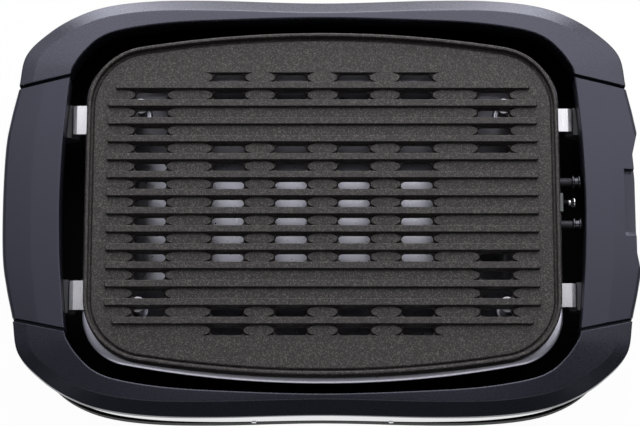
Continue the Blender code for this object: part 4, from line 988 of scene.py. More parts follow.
@dataclass
class PlugPort:
    """The notch, its recess and the way for the control plug, in the right-hand handle."""

    centre: float = 2 * MM
    half_width: float = 22 * MM
    low: float = 62 * MM
    high: float = 84 * MM
    way_in: float = 195 * MM
    way_out: float = 245 * MM
    pad_low: tuple[float, float, float] = (231.5 * MM, -52 * MM, 64.4 * MM)
    pad_high: tuple[float, float, float] = (237.5 * MM, 50 * MM, 85.6 * MM)
    flat_x: float = 235.2 * MM
    notch: Corners = in_mm(
        (246, -100, 0), (246, 90.2, 0), (233.7, 37, 8), (235.2, 18, 60), (235.2, -39, 8)
    )
    notch_heights: tuple[float, float] = (60 * MM, 95 * MM)
    pocket_x: float = 226.9 * MM
    pocket_low: float = -22.6 * MM
    pocket_high: float = 25.8 * MM
    pocket_floor: float = 86.2 * MM
    pocket_fall: float = 4 * MM
    pocket_ramp: tuple[float, float] = (3.4 * MM, 2.2 * MM)
    pocket_reach: float = 250 * MM
    pocket_open: float = 98 * MM
    backing: float = 3 * MM
    backing_low: float = 2 * MM
    backing_top: float = 87.4 * MM
    end_width: float = 3.4 * MM
    end_margin: float = 0.2 * MM
    end_x: float = 232.4 * MM
    end_heights: tuple[float, float] = (84.5 * MM, 90 * MM)

    def way(self, low: float) -> Obj:
        """The cutter for the way in, down to a height."""
        ends = self.centre - self.half_width, self.centre + self.half_width
        return block("plug_way", (self.way_in, ends[0], low), (self.way_out, ends[1], self.high), 2.5 * MM)

    def recess(self) -> Obj:
        """The cutter for the recess, with a ramp at its front end."""
        length, rise = self.pocket_ramp
        places = (self.pocket_low - length, rise), (self.pocket_low, 0), (self.pocket_high, 0)
        rings = []
        for y, lift in places:
            floor = self.pocket_floor + lift
            section = (
                (self.pocket_x, self.pocket_open), (self.pocket_x, floor),
                (self.pocket_reach, floor - self.pocket_fall), (self.pocket_reach, self.pocket_open),
            )
            rings.append([Vector((x, y, up)) for x, up in section])
        return drawn_out("recess", rings)

    def cut(self, handle: Obj) -> None:
        """Thickens the handle's wall and roof, then cuts the notch, the recess and the way in.

        Args:
            handle: The handle, as it is drawn out.
        """
        combine(handle, [block("pad", self.pad_low, self.pad_high)], "UNION")
        roof = block(
            "roof",
            (
                self.pocket_x - self.backing, self.pocket_low - self.backing,
                self.pocket_floor - self.backing_low,
            ),
            (self.flat_x, self.pocket_high + self.backing, self.backing_top),
        )
        combine(handle, [roof], "UNION")
        plan = rounded(self.notch, 6)
        notch = drawn_out("notch", [[Vector((x, y, up)) for x, y in plan] for up in self.notch_heights])
        combine(handle, [notch], "DIFFERENCE")
        combine(handle, [self.recess()], "DIFFERENCE")
        low, high = self.end_heights
        end = block(
            "recess_end", (self.pocket_x + self.end_margin, self.pocket_high - self.end_width, low),
            (self.end_x, self.pocket_high - self.end_margin, high), 0.8 * MM,
        )
        combine(handle, [end], "DIFFERENCE")
        combine(handle, [self.way(self.low - 6 * MM)], "DIFFERENCE")


@dataclass
class Handle(Assembly):
    """One of the two satin handles, open underneath for the fingers."""

    name: str
    node: str
    side: int
    port: PlugPort | None = None
    fall: float = 4 * MM
    crown: float = 0.5 * MM
    shoulder: float = 3.4 * MM
    skirt_bottom: float = 64 * MM
    skirt_draft: float = 0.8 * MM
    wall: float = 3 * MM
    rail_far_inset: float = 2.9 * MM
    rail_width: float = 11.8 * MM
    tongues: tuple[tuple[float, float], ...] = (
        (BODY.seam / 2 - 0.05 * MM, 0.6 * MM),
        (4.5 * MM, 2.7 * MM),
    )
    tongue_root: float = 7 * MM
    tongue_drop: float = 5 * MM
    tongue_thickness: float = 2 * MM
    edge_break: float = 0.4 * MM
    steps: int = 72

    def section(self, station: float, first: float, last: float) -> Ring:
        """The handle's rounded section at a station between its two ends.

        Args:
            station: Where the section stands.
            first: The station of the first end.
            last: The station of the other end.

        Returns:
            The section.
        """
        outer = BODY.pulled_back(BODY.outer, station, first, last)
        inner = BODY.pulled_back(BODY.well, station, first, last)
        across = (outer - inner).normalized()
        width = (outer - inner).length
        rail_far = abs(BODY.belt.at(station).x) - self.rail_far_inset
        rail_out = (rail_far - abs(inner.x)) / abs(across.x)
        rail_in = rail_out - self.rail_width

        def under(a: float) -> float:
            """The height of the top's underside."""
            return BODY.top - self.fall * a / width - self.wall

        foot = BODY.split + BODY.gap
        corners = (
            (0, BODY.lip_bottom, 0.5 * MM),
            (0, BODY.top, 1.3 * MM),
            (width / 2, BODY.top - self.fall / 2 + self.crown, 40 * MM),
            (width, BODY.top - self.fall, self.shoulder),
            (width - self.skirt_draft, self.skirt_bottom, 0.8 * MM),
            (width - self.skirt_draft - self.wall, self.skirt_bottom, 0.8 * MM),
            (width - self.wall, under(width - self.wall), 1 * MM),
            (rail_out, under(rail_out), 0),
            (rail_out, foot, 0),
            (rail_in, foot, 0),
            (rail_in, under(rail_in), 0),
            (BODY.wall, under(BODY.wall), 0.6 * MM),
            (BODY.wall, BODY.lip_bottom, 0.5 * MM),
        )
        return [raised(inner + a * across, up) for a, up in rounded(corners)]

    def tongue(self, station: float, ahead: int, reach: float, margin: float) -> Obj:
        """A shelf low in a seam, joined to the handle's end, that closes the view through the seam.

        Args:
            station: The seam.
            ahead: +1 where the rim lies at higher stations, or else -1.
            reach: How far the shelf runs past the seam's middle.
            margin: How far it keeps from the well and from the outside.

        Returns:
            The shelf.
        """
        rings = []
        for distance in (-self.tongue_root, reach):
            inner = BODY.well.at(station) + ahead * distance * BODY.well.along(station)
            outer = BODY.outer.at(station) + ahead * distance * BODY.outer.along(station)
            across = (outer - inner).normalized()
            width = (outer - inner).length
            near = (margin, BODY.top - self.tongue_drop)
            far = (width - margin, BODY.top - self.fall - self.tongue_drop)
            below = [(a, up - self.tongue_thickness) for a, up in (far, near)]
            section = (near, far, *below)
            rings.append([raised(inner + a * across, up) for a, up in section])
        return drawn_out("tongue", rings)

    def build(self) -> None:
        """Draws the handle out from seam to seam, adds its tongues and cuts its port, if it has one."""
        middle = 0 if self.side > 0 else 2 * BODY.quarter_steps
        first, last = middle - BODY.seam_steps, middle + BODY.seam_steps
        rings = [self.section(s, first, last) for s in stations(first, last, self.steps)]
        handle = drawn_out(self.name, rings)
        for station, ahead in ((first, -1), (last, 1)):
            for reach, margin in self.tongues:
                combine(handle, [self.tongue(station, ahead, reach, margin)], "UNION")
        if self.port:
            self.port.cut(handle)
        softened(handle, self.edge_break, limit=60, sharp=30)
        self.keep(handle, self.node, Slot.NAVY, HANDLE_ABS)


@dataclass
class BaseTub(Assembly):
    """The black tub: floor, heel, belt, upper wall and the ledge that carries the rims and handles."""

    port: PlugPort
    port_low: float = 66.5 * MM
    steps: int = 200
    profile: Corners = in_mm(
        (17, 5, 0), (13, 5.8, 1.5), (5, 18, 8), (0.4, 45, 3), (0, 59.3, 0.7), (1.7, 59.5, 0.4),
        (2.9, 75, 0.5), (12.6, 75, 0.5), (12.6, 72.4, 0.5), (5.5, 72.4, 0.8), (3, 45, 2), (7.6, 18, 6),
        (15.6, 7.8, 3), (22, 7.8, 0),
    )

    def build(self) -> None:
        """Draws the tub up its outside, over the ledge and down its inside, and cuts the plug's way."""
        around = stations(0, 4 * BODY.quarter_steps, self.steps)[:-1]
        rings = [
            [raised(BODY.belt.inset(s, inset), up) for s in around]
            for inset, up in rounded(self.profile, closed=False)
        ]
        tub = drawn_out("base_tub", rings)
        combine(tub, [self.port.way(self.port_low)], "DIFFERENCE")
        self.keep(softened(tub, 0.0), "base_shell", Slot.BLACK, BASE_NYLON)


@dataclass
class FrontStrip(Assembly):
    """The bright strip in the front wall, deepest in the middle and drawn out thin at its ends."""

    top: float = 74.7 * MM
    middle_height: float = 15 * MM
    end_height: float = 1.6 * MM
    thickness: float = 1.2 * MM
    inset_top: float = 1.4 * MM
    inset_low: float = 0.2 * MM
    reach: float = 5.0
    taper: float = 1.8
    tab_x: float = 51.2 * MM
    tab_size: tuple[float, float, float] = (3.6 * MM, 1.6 * MM, 4 * MM)
    tab_low: float = 57.4 * MM
    tab_stand: float = 0.4 * MM
    steps: int = 120

    def build(self) -> None:
        """Draws the strip out along the belt, a little crowned, with two small tabs under it."""
        middle = 3 * BODY.quarter_steps
        end_x = BODY.belt.at(middle + self.reach).x
        rings = []
        for station in stations(middle - self.reach, middle + self.reach, self.steps):
            share = 1 - abs(BODY.belt.at(station).x / end_x) ** self.taper
            height = self.end_height + (self.middle_height - self.end_height) * share
            low_inset = self.inset_top + (self.inset_low - self.inset_top) * height / self.middle_height
            low = self.top - height
            corners = (
                (self.inset_top, self.top, 0.4 * MM),
                (low_inset, low, 0.4 * MM),
                (low_inset + self.thickness, low, 0.2 * MM),
                (self.inset_top + self.thickness, self.top, 0.2 * MM),
            )
            rings.append([raised(BODY.belt.inset(station, inset), up) for inset, up in rounded(corners, 3)])
        strip = drawn_out("trim_strip", rings)
        finely = stations(middle - self.reach, middle + self.reach, 1000)
        width, depth, height = self.tab_size
        for x in (-self.tab_x, self.tab_x):
            near = min(finely, key=lambda s: abs(BODY.belt.at(s).x - x))
            face = BODY.belt.at(near).y - self.tab_stand
            low = (x - width / 2, face, self.tab_low)
            high = (x + width / 2, face + depth, self.tab_low + height)
            combine(strip, [block("tab", low, high, 0.7 * MM)], "UNION")
        self.keep(softened(strip, 0.0), "front_trim", Slot.TRIM, TRIM_STEEL)


@dataclass
class Feet(Assembly):
    """Four moulded rubber feet, each with a worn bead and a plug in the floor."""

    x: float = 160 * MM
    y: float = 106 * MM
    radius: float = 9 * MM

    def build(self) -> None:
        """Turns one foot and copies it to the other corners."""
        corners = (
            (2.7 * MM, 7.7 * MM, 0),
            (3 * MM, 7.4 * MM, 0.2 * MM),
            (3 * MM, 4.7 * MM, 0),
            (self.radius, 4.7 * MM, 0.5 * MM),
            (self.radius - 0.3 * MM, 1.6 * MM, 0.3 * MM),
            (self.radius, 1.2 * MM, 0.3 * MM),
            (self.radius - 0.6 * MM, 0, 0.6 * MM),
            (self.radius - 2.4 * MM, 0, 0.2 * MM),
            (self.radius - 3 * MM, 0.5 * MM, 0.2 * MM),
            (2 * MM, 0.5 * MM, 0),
        )
        first = softened(turned("foot_pad", corners, 3, 48), 0.0)
        self.keep_at_corners(first, "foot", (self.x, self.y), Slot.RUBBER, FOOT_RUBBER)


@dataclass(frozen=True)
class LugPlan:
    """Where the pan's four lugs and their rests are."""

    y: float = 68.3 * MM
    width_left: float = 22.5 * MM
    width_right: float = 18.2 * MM
    sheet: float = 1.2 * MM
    inner_x: float = 171.5 * MM
    bend_x: float = 187.2 * MM
    end_x: float = 190.6 * MM
    top: float = 73.7 * MM
    fold: float = 73.1 * MM
    end: float = 66.3 * MM

    def half_width(self, x: float) -> float:
        """Half the width of the lug on this side."""
        return (self.width_left if x < 0 else self.width_right) / 2


LUGS = LugPlan()


@dataclass
class PanRests(Assembly):
    """Four moulded brackets on the base's side walls, on which the pan's lugs end."""

    inner_x: float = 185.5 * MM
    nose: float = 6 * MM
    top: float = 69.7 * MM
    bottom: float = 48 * MM
    margin: float = 1.6 * MM
    root: float = 10 * MM

    def build(self) -> None:
        """Draws each bracket out across its width and breaks its edges."""
        nose_top = LUGS.end - BODY.gap
        upright = LUGS.end_x + BODY.gap
        for corner, x, y in corners_of(LUGS.end_x, LUGS.y):
            side = math.copysign(1, x)
            half = LUGS.half_width(x) + self.margin
            wall_x = max(abs(end.x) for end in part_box(f"pan_rest_{corner}"))
            profile = rounded(
                (
                    (self.inner_x, nose_top - self.nose, 1 * MM),
                    (self.inner_x, nose_top, 1.2 * MM),
                    (upright, nose_top, 0.5 * MM),
                    (upright, self.top, 0.8 * MM),
                    (wall_x, self.top, 0.3 * MM),
                    (wall_x, self.bottom, 0.5 * MM),
                    (wall_x - self.root, self.bottom, 1 * MM),
                ),
                3,
            )
            bracket = drawn_across(f"pan_bracket_{corner}", profile, side, y, half)
            softened(bracket, 0.6 * MM, limit=60)
            self.keep(bracket, f"pan_rest_{corner}", Slot.GREY, REST_NYLON)


# The pan


@dataclass(frozen=True)
class LegPlan:
    """Where the plate's legs stand in the pan."""

    x: float = 138 * MM
    y: float = 77 * MM
    seat_top: float = 57.4 * MM
    cup_depth: float = 1.2 * MM


LEGS = LegPlan()


@dataclass
class PressedPan(Assembly):
    """The pressed pan: rolled edge, flange, hipped slopes, flat floor and four pressed seats."""

    rim: BowedPlan = BowedPlan(180.6 * MM, 135.2 * MM, 0.4 * MM, 20.7 * MM, 39 * MM)
    floor: BowedPlan = BowedPlan(136 * MM, 55.6 * MM, 3 * MM, 3 * MM, 14 * MM)
    flat: BowedPlan = BowedPlan(118 * MM, 50 * MM, 3 * MM, 3 * MM, 12 * MM)
    top: float = 72.2 * MM
    floor_height: float = 38 * MM
    sheet: float = 1 * MM
    flange: float = 9 * MM
    bead: float = 1.8 * MM
    bead_drop: float = 2.2 * MM
    flange_fall: float = 0.42 * MM
    edge_width: float = 2 * MM
    edge_fall: float = 0.97 * MM
    foot_share: float = 0.2
    foot_steps: int = 8
    shoulder_share: float = 0.93
    shoulder_width: float = 3 * MM
    seat_radius: float = 6.6 * MM
    carrier: ClassVar[Carrier] = Carrier.PAN

    def skin(self, drop: float) -> list[Ring]:
        """The rings of one skin, from the floor out to the flange.

        Args:
            drop: How far below the upper skin it lies.

        Returns:
            The rings, their pressed bends rounded.
        """
        floor = self.floor.ring(0, self.floor_height - drop)
        flange = self.rim.ring(self.flange, self.top - drop)
        flat = self.flat.ring(0, self.floor_height - drop)
        foot = bent_rings(flat, floor, part_way(floor, flange, self.foot_share), self.foot_steps)
        level = self.rim.ring(self.flange - self.shoulder_width, self.top - drop)
        return foot + bent_rings(part_way(floor, flange, self.shoulder_share), flange, level, 4)

    def build(self) -> None:
        """Draws the pan out over its upper skin, round its bead and back, and presses its seats."""
        half = (self.bead_drop - self.edge_fall) / 2
        edge = self.top - self.edge_fall
        roll = [self.rim.ring(self.edge_width, self.top - self.flange_fall)]
        roll += [
            self.rim.ring(self.bead / 2 - self.bead / 2 * math.sin(a), edge - half + half * math.cos(a))
            for a in (TURN / 2 * (1 + k) / 8 for k in range(8))
        ]
        lower = self.skin(self.sheet)
        pan = drawn_out("pressed_pan", self.skin(0) + roll + lower[::-1])
        radius = self.seat_radius
        seat = (
            (radius + 1.6 * MM, 46 * MM, 0),
            (radius + 0.4 * MM, 55 * MM, 1 * MM),
            (radius, LEGS.seat_top, 1 * MM),
            (radius - 1.6 * MM, LEGS.seat_top, 0),
        )
        cup_low = LEGS.seat_top - LEGS.cup_depth
        cup = ((4 * MM, cup_low, 0), (4.8 * MM, cup_low, 0.5 * MM), (5.2 * MM, 60 * MM, 0))
        seats, cups = [], []
        for _, x, y in corners_of(LEGS.x, LEGS.y):
            seats.append(laid(turned("seat", seat), (x, y, 0)))
            cups.append(laid(turned("cup", cup), (x, y, 0)))
        combine(pan, seats, "UNION")
        combine(pan, cups, "DIFFERENCE")
        self.keep(softened(pan, 0.0), "drip_pan", Slot.PAN, PAN_SHEET)


@dataclass
class PanStraps(Assembly):
    """Four bright straps that hang the pan, each with two rivets."""

    rivet_x: float = 175.2 * MM
    rivet_spacing: float = 10 * MM
    head: float = 2.2 * MM
    shank: float = 1.3 * MM
    shank_low: float = 70.9 * MM
    carrier: ClassVar[Carrier] = Carrier.PAN

    def build(self) -> None:
        """Bends the four straps and turns one rivet, then copies it."""
        slope = (LUGS.top - LUGS.fold) / (LUGS.end_x - LUGS.bend_x)
        through = LUGS.sheet * math.sqrt(1 + slope**2)
        profile = rounded(
            (
                (LUGS.inner_x, LUGS.top, 0.2 * MM),
                (LUGS.bend_x, LUGS.top, 1.6 * MM),
                (LUGS.end_x, LUGS.fold, 1 * MM),
                (LUGS.end_x, LUGS.end, 0.2 * MM),
                (LUGS.end_x - LUGS.sheet, LUGS.end, 0.2 * MM),
                (LUGS.end_x - LUGS.sheet, LUGS.fold + LUGS.sheet * slope - through, 0.5 * MM),
                (LUGS.bend_x - (through - LUGS.sheet) / slope, LUGS.top - LUGS.sheet, 1 * MM),
                (LUGS.inner_x, LUGS.top - LUGS.sheet, 0.2 * MM),
            ),
            4,
        )
        for corner, x, y in corners_of(LUGS.end_x, LUGS.y):
            name = f"pan_strap_{corner}"
            strap = drawn_across(name, profile, math.copysign(1, x), y, LUGS.half_width(x))
            softened(strap, 0.2 * MM, limit=60)
            self.keep(strap, f"pan_lug_{corner}", Slot.LUG, STRAP_STEEL)
        upper, lower = LUGS.top + BODY.gap, self.shank_low
        rivet = (
            (0.4 * MM, upper + 1 * MM, 0),
            (1.5 * MM, upper + 0.9 * MM, 1 * MM),
            (self.head, upper + 0.3 * MM, 0.4 * MM),
            (self.head, upper, 0),
            (self.shank, upper, 0),
            (self.shank, lower, 0),
            (self.head, lower, 0),
            (self.head, lower - 0.5 * MM, 0.5 * MM),
            (0.6 * MM, lower - 1 * MM, 0),
        )
        first = softened(turned("rivet", rivet, 3, 24), 0.0)
        half = self.rivet_spacing / 2
        places = [(x, y + s * half, 0) for _, x, y in corners_of(self.rivet_x, LUGS.y) for s in (-1, 1)]
        for number, place in enumerate(places, 1):
            obj = copied(first, f"rivet_{number}", place)
            self.keep(obj, f"lug_rivet_{number}", Slot.ZINC, ZINC_PLATE)
        bpy.data.objects.remove(first, do_unlink=True)


# The plate


@dataclass(frozen=True)
class ElementPath:
    """The element's open C in plan, with its height and its two leads."""

    height: float = 76.3 * MM
    radius: float = 3.3 * MM
    run_x: float = 100 * MM
    run_y: float = 63 * MM
    bend: float = 13 * MM
    lead_x: float = 174.6 * MM
    back_y: float = 18.6 * MM
    front_y: float = -14.6 * MM
    bend_steps: int = 10

    def points(self, overrun: float = 0.0) -> list[Vector]:
        """The path's points, with its leads run out by an overrun.

        Args:
            overrun: How far the path runs past its two ends.

        Returns:
            The points in plan.
        """
        lead = self.lead_x + overrun
        corners = [
            Vector(c)
            for c in (
                (lead, self.back_y), (self.run_x, self.back_y), (self.run_x, self.run_y),
                (-self.run_x, self.run_y), (-self.run_x, -self.run_y), (self.run_x, -self.run_y),
                (self.run_x, self.front_y), (lead, self.front_y),
            )
        ]
        path = [corners[0]]
        for before, corner, after in zip(corners, corners[1:], corners[2:]):
            into = (corner - before).normalized()
            out = (after - corner).normalized()
            centre = corner + self.bend * (out - into)
            for i in range(self.bend_steps + 1):
                angle = TURN / 4 * i / self.bend_steps
                path.append(centre - self.bend * math.cos(angle) * out + self.bend * math.sin(angle) * into)
        return path + [corners[-1]]

    def section(self, radius: float, count: int = 20) -> list[tuple[float, float]]:
        """A round section about the path."""
        angles = [TURN * i / count for i in range(count)]
        return [(radius * math.cos(a), self.height + radius * math.sin(a)) for a in angles]


ELEMENT = ElementPath()


@dataclass
class CastPlate(Assembly):
    """The casting: lip, gutter, field, 14 ribs, 65 scooped slots, and the ridge that holds the element."""

    plan: BowedPlan = BowedPlan(178.4 * MM, 132.5 * MM, 0.6 * MM, 18.6 * MM, 48.3 * MM)
    top: float = 92 * MM
    field_height: float = 88.3 * MM
    underside: float = 82.5 * MM
    skirt_bottom: float = 79 * MM
    skirt_wall: float = 3.2 * MM
    lip: float = 2.8 * MM
    groove: float = 1.5 * MM
    groove_depth: float = 1.9 * MM
    rib_count: int = 14
    rib_pitch: float = 14 * MM
    rib_width: float = 5 * MM
    rib_height: float = 3.2 * MM
    rib_half_length: float = 162.15 * MM
    rib_shortening: float = 5.65 * MM
    centre_columns: tuple[float, ...] = (-71.1 * MM, -23.7 * MM, 23.7 * MM, 71.1 * MM)
    side_column: float = 129.7 * MM
    centre_gaps: tuple[int, ...] = (0, 1, 4, 5, 6, 7, 8, 9, 10, 13, 14)
    left_gaps: tuple[int, ...] = tuple(range(1, 14))
    right_gaps: tuple[int, ...] = (1, 2, 3, 4, 10, 11, 12, 13)
    slot_length: float = 24 * MM
    slot_width: float = 6.2 * MM
    scoop_length: float = 36.4 * MM
    scoop_tip: float = 24.8 * MM
    scoop_depth: float = 3 * MM
    scoop_curve: float = 2.6
    ridge_drop: float = 3 * MM
    ridge_low: float = 5.5 * MM
    ridge_high: float = 5.9 * MM
    weld: float = 0.6 * MM
    carrier: ClassVar[Carrier] = Carrier.PLATE

    def gap_y(self, gap: float) -> float:
        """The middle of a gap between ribs, counted from the back. Gap 0 lies behind them."""
        return (self.rib_count / 2 - gap) * self.rib_pitch

    def body(self) -> Obj:
        """Draws the plate out from under its field, round the skirt and lip, and into the field."""
        bottom = self.field_height - self.groove_depth
        inner_foot = self.lip + 0.5 * MM
        profile = rounded(
            (
                (self.skirt_wall + 4 * MM, self.underside, 0),
                (self.skirt_wall + 0.5 * MM, self.underside, 0.6 * MM),
                (self.skirt_wall, self.skirt_bottom, 0.4 * MM),
                (0, self.skirt_bottom, 0.8 * MM),
                (-0.1 * MM, self.top - 2 * MM, 2 * MM),
                (0.6 * MM, self.top, 1 * MM),
                (self.lip, self.top - 0.1 * MM, 0.6 * MM),
                (inner_foot, bottom, 0.3 * MM),
                (inner_foot + self.groove, bottom, 0.3 * MM),
                (inner_foot + self.groove + 0.3 * MM, self.field_height - 0.7 * MM, 0.3 * MM),
                (inner_foot + self.groove + 1.2 * MM, self.field_height, 0.4 * MM),
                (inner_foot + self.groove + 3 * MM, self.field_height, 0),
            ),
            4,
            closed=False,
        )
        return drawn_out("cast_plate", [self.plan.ring(inset, up) for inset, up in profile])

    def bar(self, name: str, y: float, half_length: float) -> Obj:
        """One rib: a drafted bar with round corners and broken top edges, sunk a little into the field.

        Args:
            name: The bar's name.
            y: Its middle along Y.
            half_length: Half its length at the top.

        Returns:
            The bar.
        """
        low = self.field_height - self.weld
        high = self.field_height + self.rib_height
        levels = (
            (0.4, low), (0.3, self.field_height + 0.3 * MM), (0.05, high - 0.35 * MM),
            (-0.03, high - 0.15 * MM), (-0.14, high - 0.04 * MM), (-0.35, high),
        )
        rings = []
        for wider, height in levels:
            half_x = half_length + wider * MM
            half_y = self.rib_width / 2 + wider * MM
            corner = max(0.2 * MM, (0.9 + wider) * MM)
            ring = []
            for sx, sy, start in ((1, 1, 0.0), (-1, 1, 0.25), (-1, -1, 0.5), (1, -1, 0.75)):
                for k in range(4):
                    angle = TURN * (start + 0.25 * k / 3)
                    x = sx * (half_x - corner) + corner * math.cos(angle)
                    ring.append(Vector((x, y + sy * (half_y - corner) + corner * math.sin(angle), height)))
            rings.append(ring)
        return drawn_out(name, rings)

    def slot_places(self) -> list[tuple[float, float]]:
        """The middles of all slots."""
        places = [(x, self.gap_y(gap)) for gap in self.centre_gaps for x in self.centre_columns]
        places += [(-self.side_column, self.gap_y(gap)) for gap in self.left_gaps]
        places += [(self.side_column, self.gap_y(gap)) for gap in self.right_gaps]
        return places

    def slot_cutter(self) -> Obj:
        """The cutter of one slot and its scoop, long at the ribs and short between them."""
        half_gap = (self.rib_pitch - self.rib_width) / 2 - self.weld
        radius = self.slot_width / 2
        shares = [-1, -0.75, -0.5, -0.25, 0, 0.25, 0.5, 0.75, 1]

        def both(end: list[tuple[float, float]], height: float) -> Ring:
            """A ring from one end and the same end turned round."""
            return [Vector((x, y, height)) for x, y in end + [(-x, -y) for x, y in end]]

        tip, corner = self.scoop_tip / 2, self.scoop_length / 2
        scoop = [(tip + (corner - tip) * abs(s) ** self.scoop_curve, s * half_gap) for s in shares]
        slot = [
            (self.slot_length / 2 - radius + radius * math.cos(TURN / 4 * s), radius * math.sin(TURN / 4 * s))
            for s in shares
        ]
        worn = [(x + 0.25 * MM, y) for x, y in scoop]
        rings = [both(worn, self.field_height + 0.5 * MM), both(worn, self.field_height - 0.02 * MM)]
        for share, depth in ((0.02, 0.1), (0.08, 0.45), (0.18, 0.75), (0.4, 0.95), (0.8, 1.05), (1, 1.2)):
            end = [
                (a[0] + (b[0] - a[0]) * share, a[1] + (b[1] - a[1]) * share) for a, b in zip(scoop, slot)
            ]
            rings.append(both(end, self.field_height - self.scoop_depth * depth))
        rings.append(both(slot, self.underside - 3 * MM))
        return drawn_out("slot", rings)

    def build(self) -> None:
        """Makes the casting: its body, then ribs and ridge joined to it, then groove and slots cut out."""
        plate = self.body()
        ribs = []
        for index in range(self.rib_count):
            short = self.rib_shortening if index in (0, self.rib_count - 1) else 0
            ribs.append(self.bar("rib", self.gap_y(index + 0.5), self.rib_half_length - short))
        combine(plate, ribs, "UNION")
        low, root = ELEMENT.height - self.ridge_drop, self.underside + self.weld
        ridge = (
            (-self.ridge_low, low), (self.ridge_low, low), (self.ridge_high, root), (-self.ridge_high, root)
        )
        combine(plate, [drawn_out("ridge", swept_rings(ELEMENT.points(), ridge))], "UNION")
        reach = ELEMENT.radius + BODY.gap
        angles = [TURN / 2 * k / 10 for k in range(11)]
        arch = [(reach * math.cos(a), ELEMENT.height + reach * math.sin(a)) for a in angles]
        channel = [(reach, low - 2 * MM), *arch, (-reach, low - 2 * MM)]
        combine(plate, [drawn_out("channel", swept_rings(ELEMENT.points(2 * MM), channel))], "DIFFERENCE")
        first = self.slot_cutter()
        cutters = [copied(first, "slot", (x, y, 0)) for x, y in self.slot_places()]
        bpy.data.objects.remove(first, do_unlink=True)
        combine(plate, cutters, "DIFFERENCE")
        self.keep(softened(plate, 0.0, sharp=38), "grill_plate", Slot.NONSTICK, CAST_COAT)


@dataclass
class PlateLegs(Assembly):
    """Four turned legs that stand in the pan's seats."""

    top: float = 82.2 * MM
    tip: float = 56.5 * MM
    carrier: ClassVar[Carrier] = Carrier.PLATE

    def build(self) -> None:
        """Turns one leg and copies it to the other corners."""
        flange = self.top - 2.5 * MM
        corners = (
            (2 * MM, 84.9 * MM, 0),
            (2.5 * MM, 84.5 * MM, 0.3 * MM),
            (2.5 * MM, self.top, 0),
            (6 * MM, self.top, 0.4 * MM),
            (6 * MM, flange, 0.6 * MM),
            (4.4 * MM, flange, 0.8 * MM),
            (3.8 * MM, self.tip, 0.9 * MM),
            (2 * MM, self.tip, 0),
        )
        first = softened(turned("leg", corners), 0.0)
        self.keep_at_corners(first, "plate_leg", (LEGS.x, LEGS.y), Slot.LUG, STRAP_STEEL)


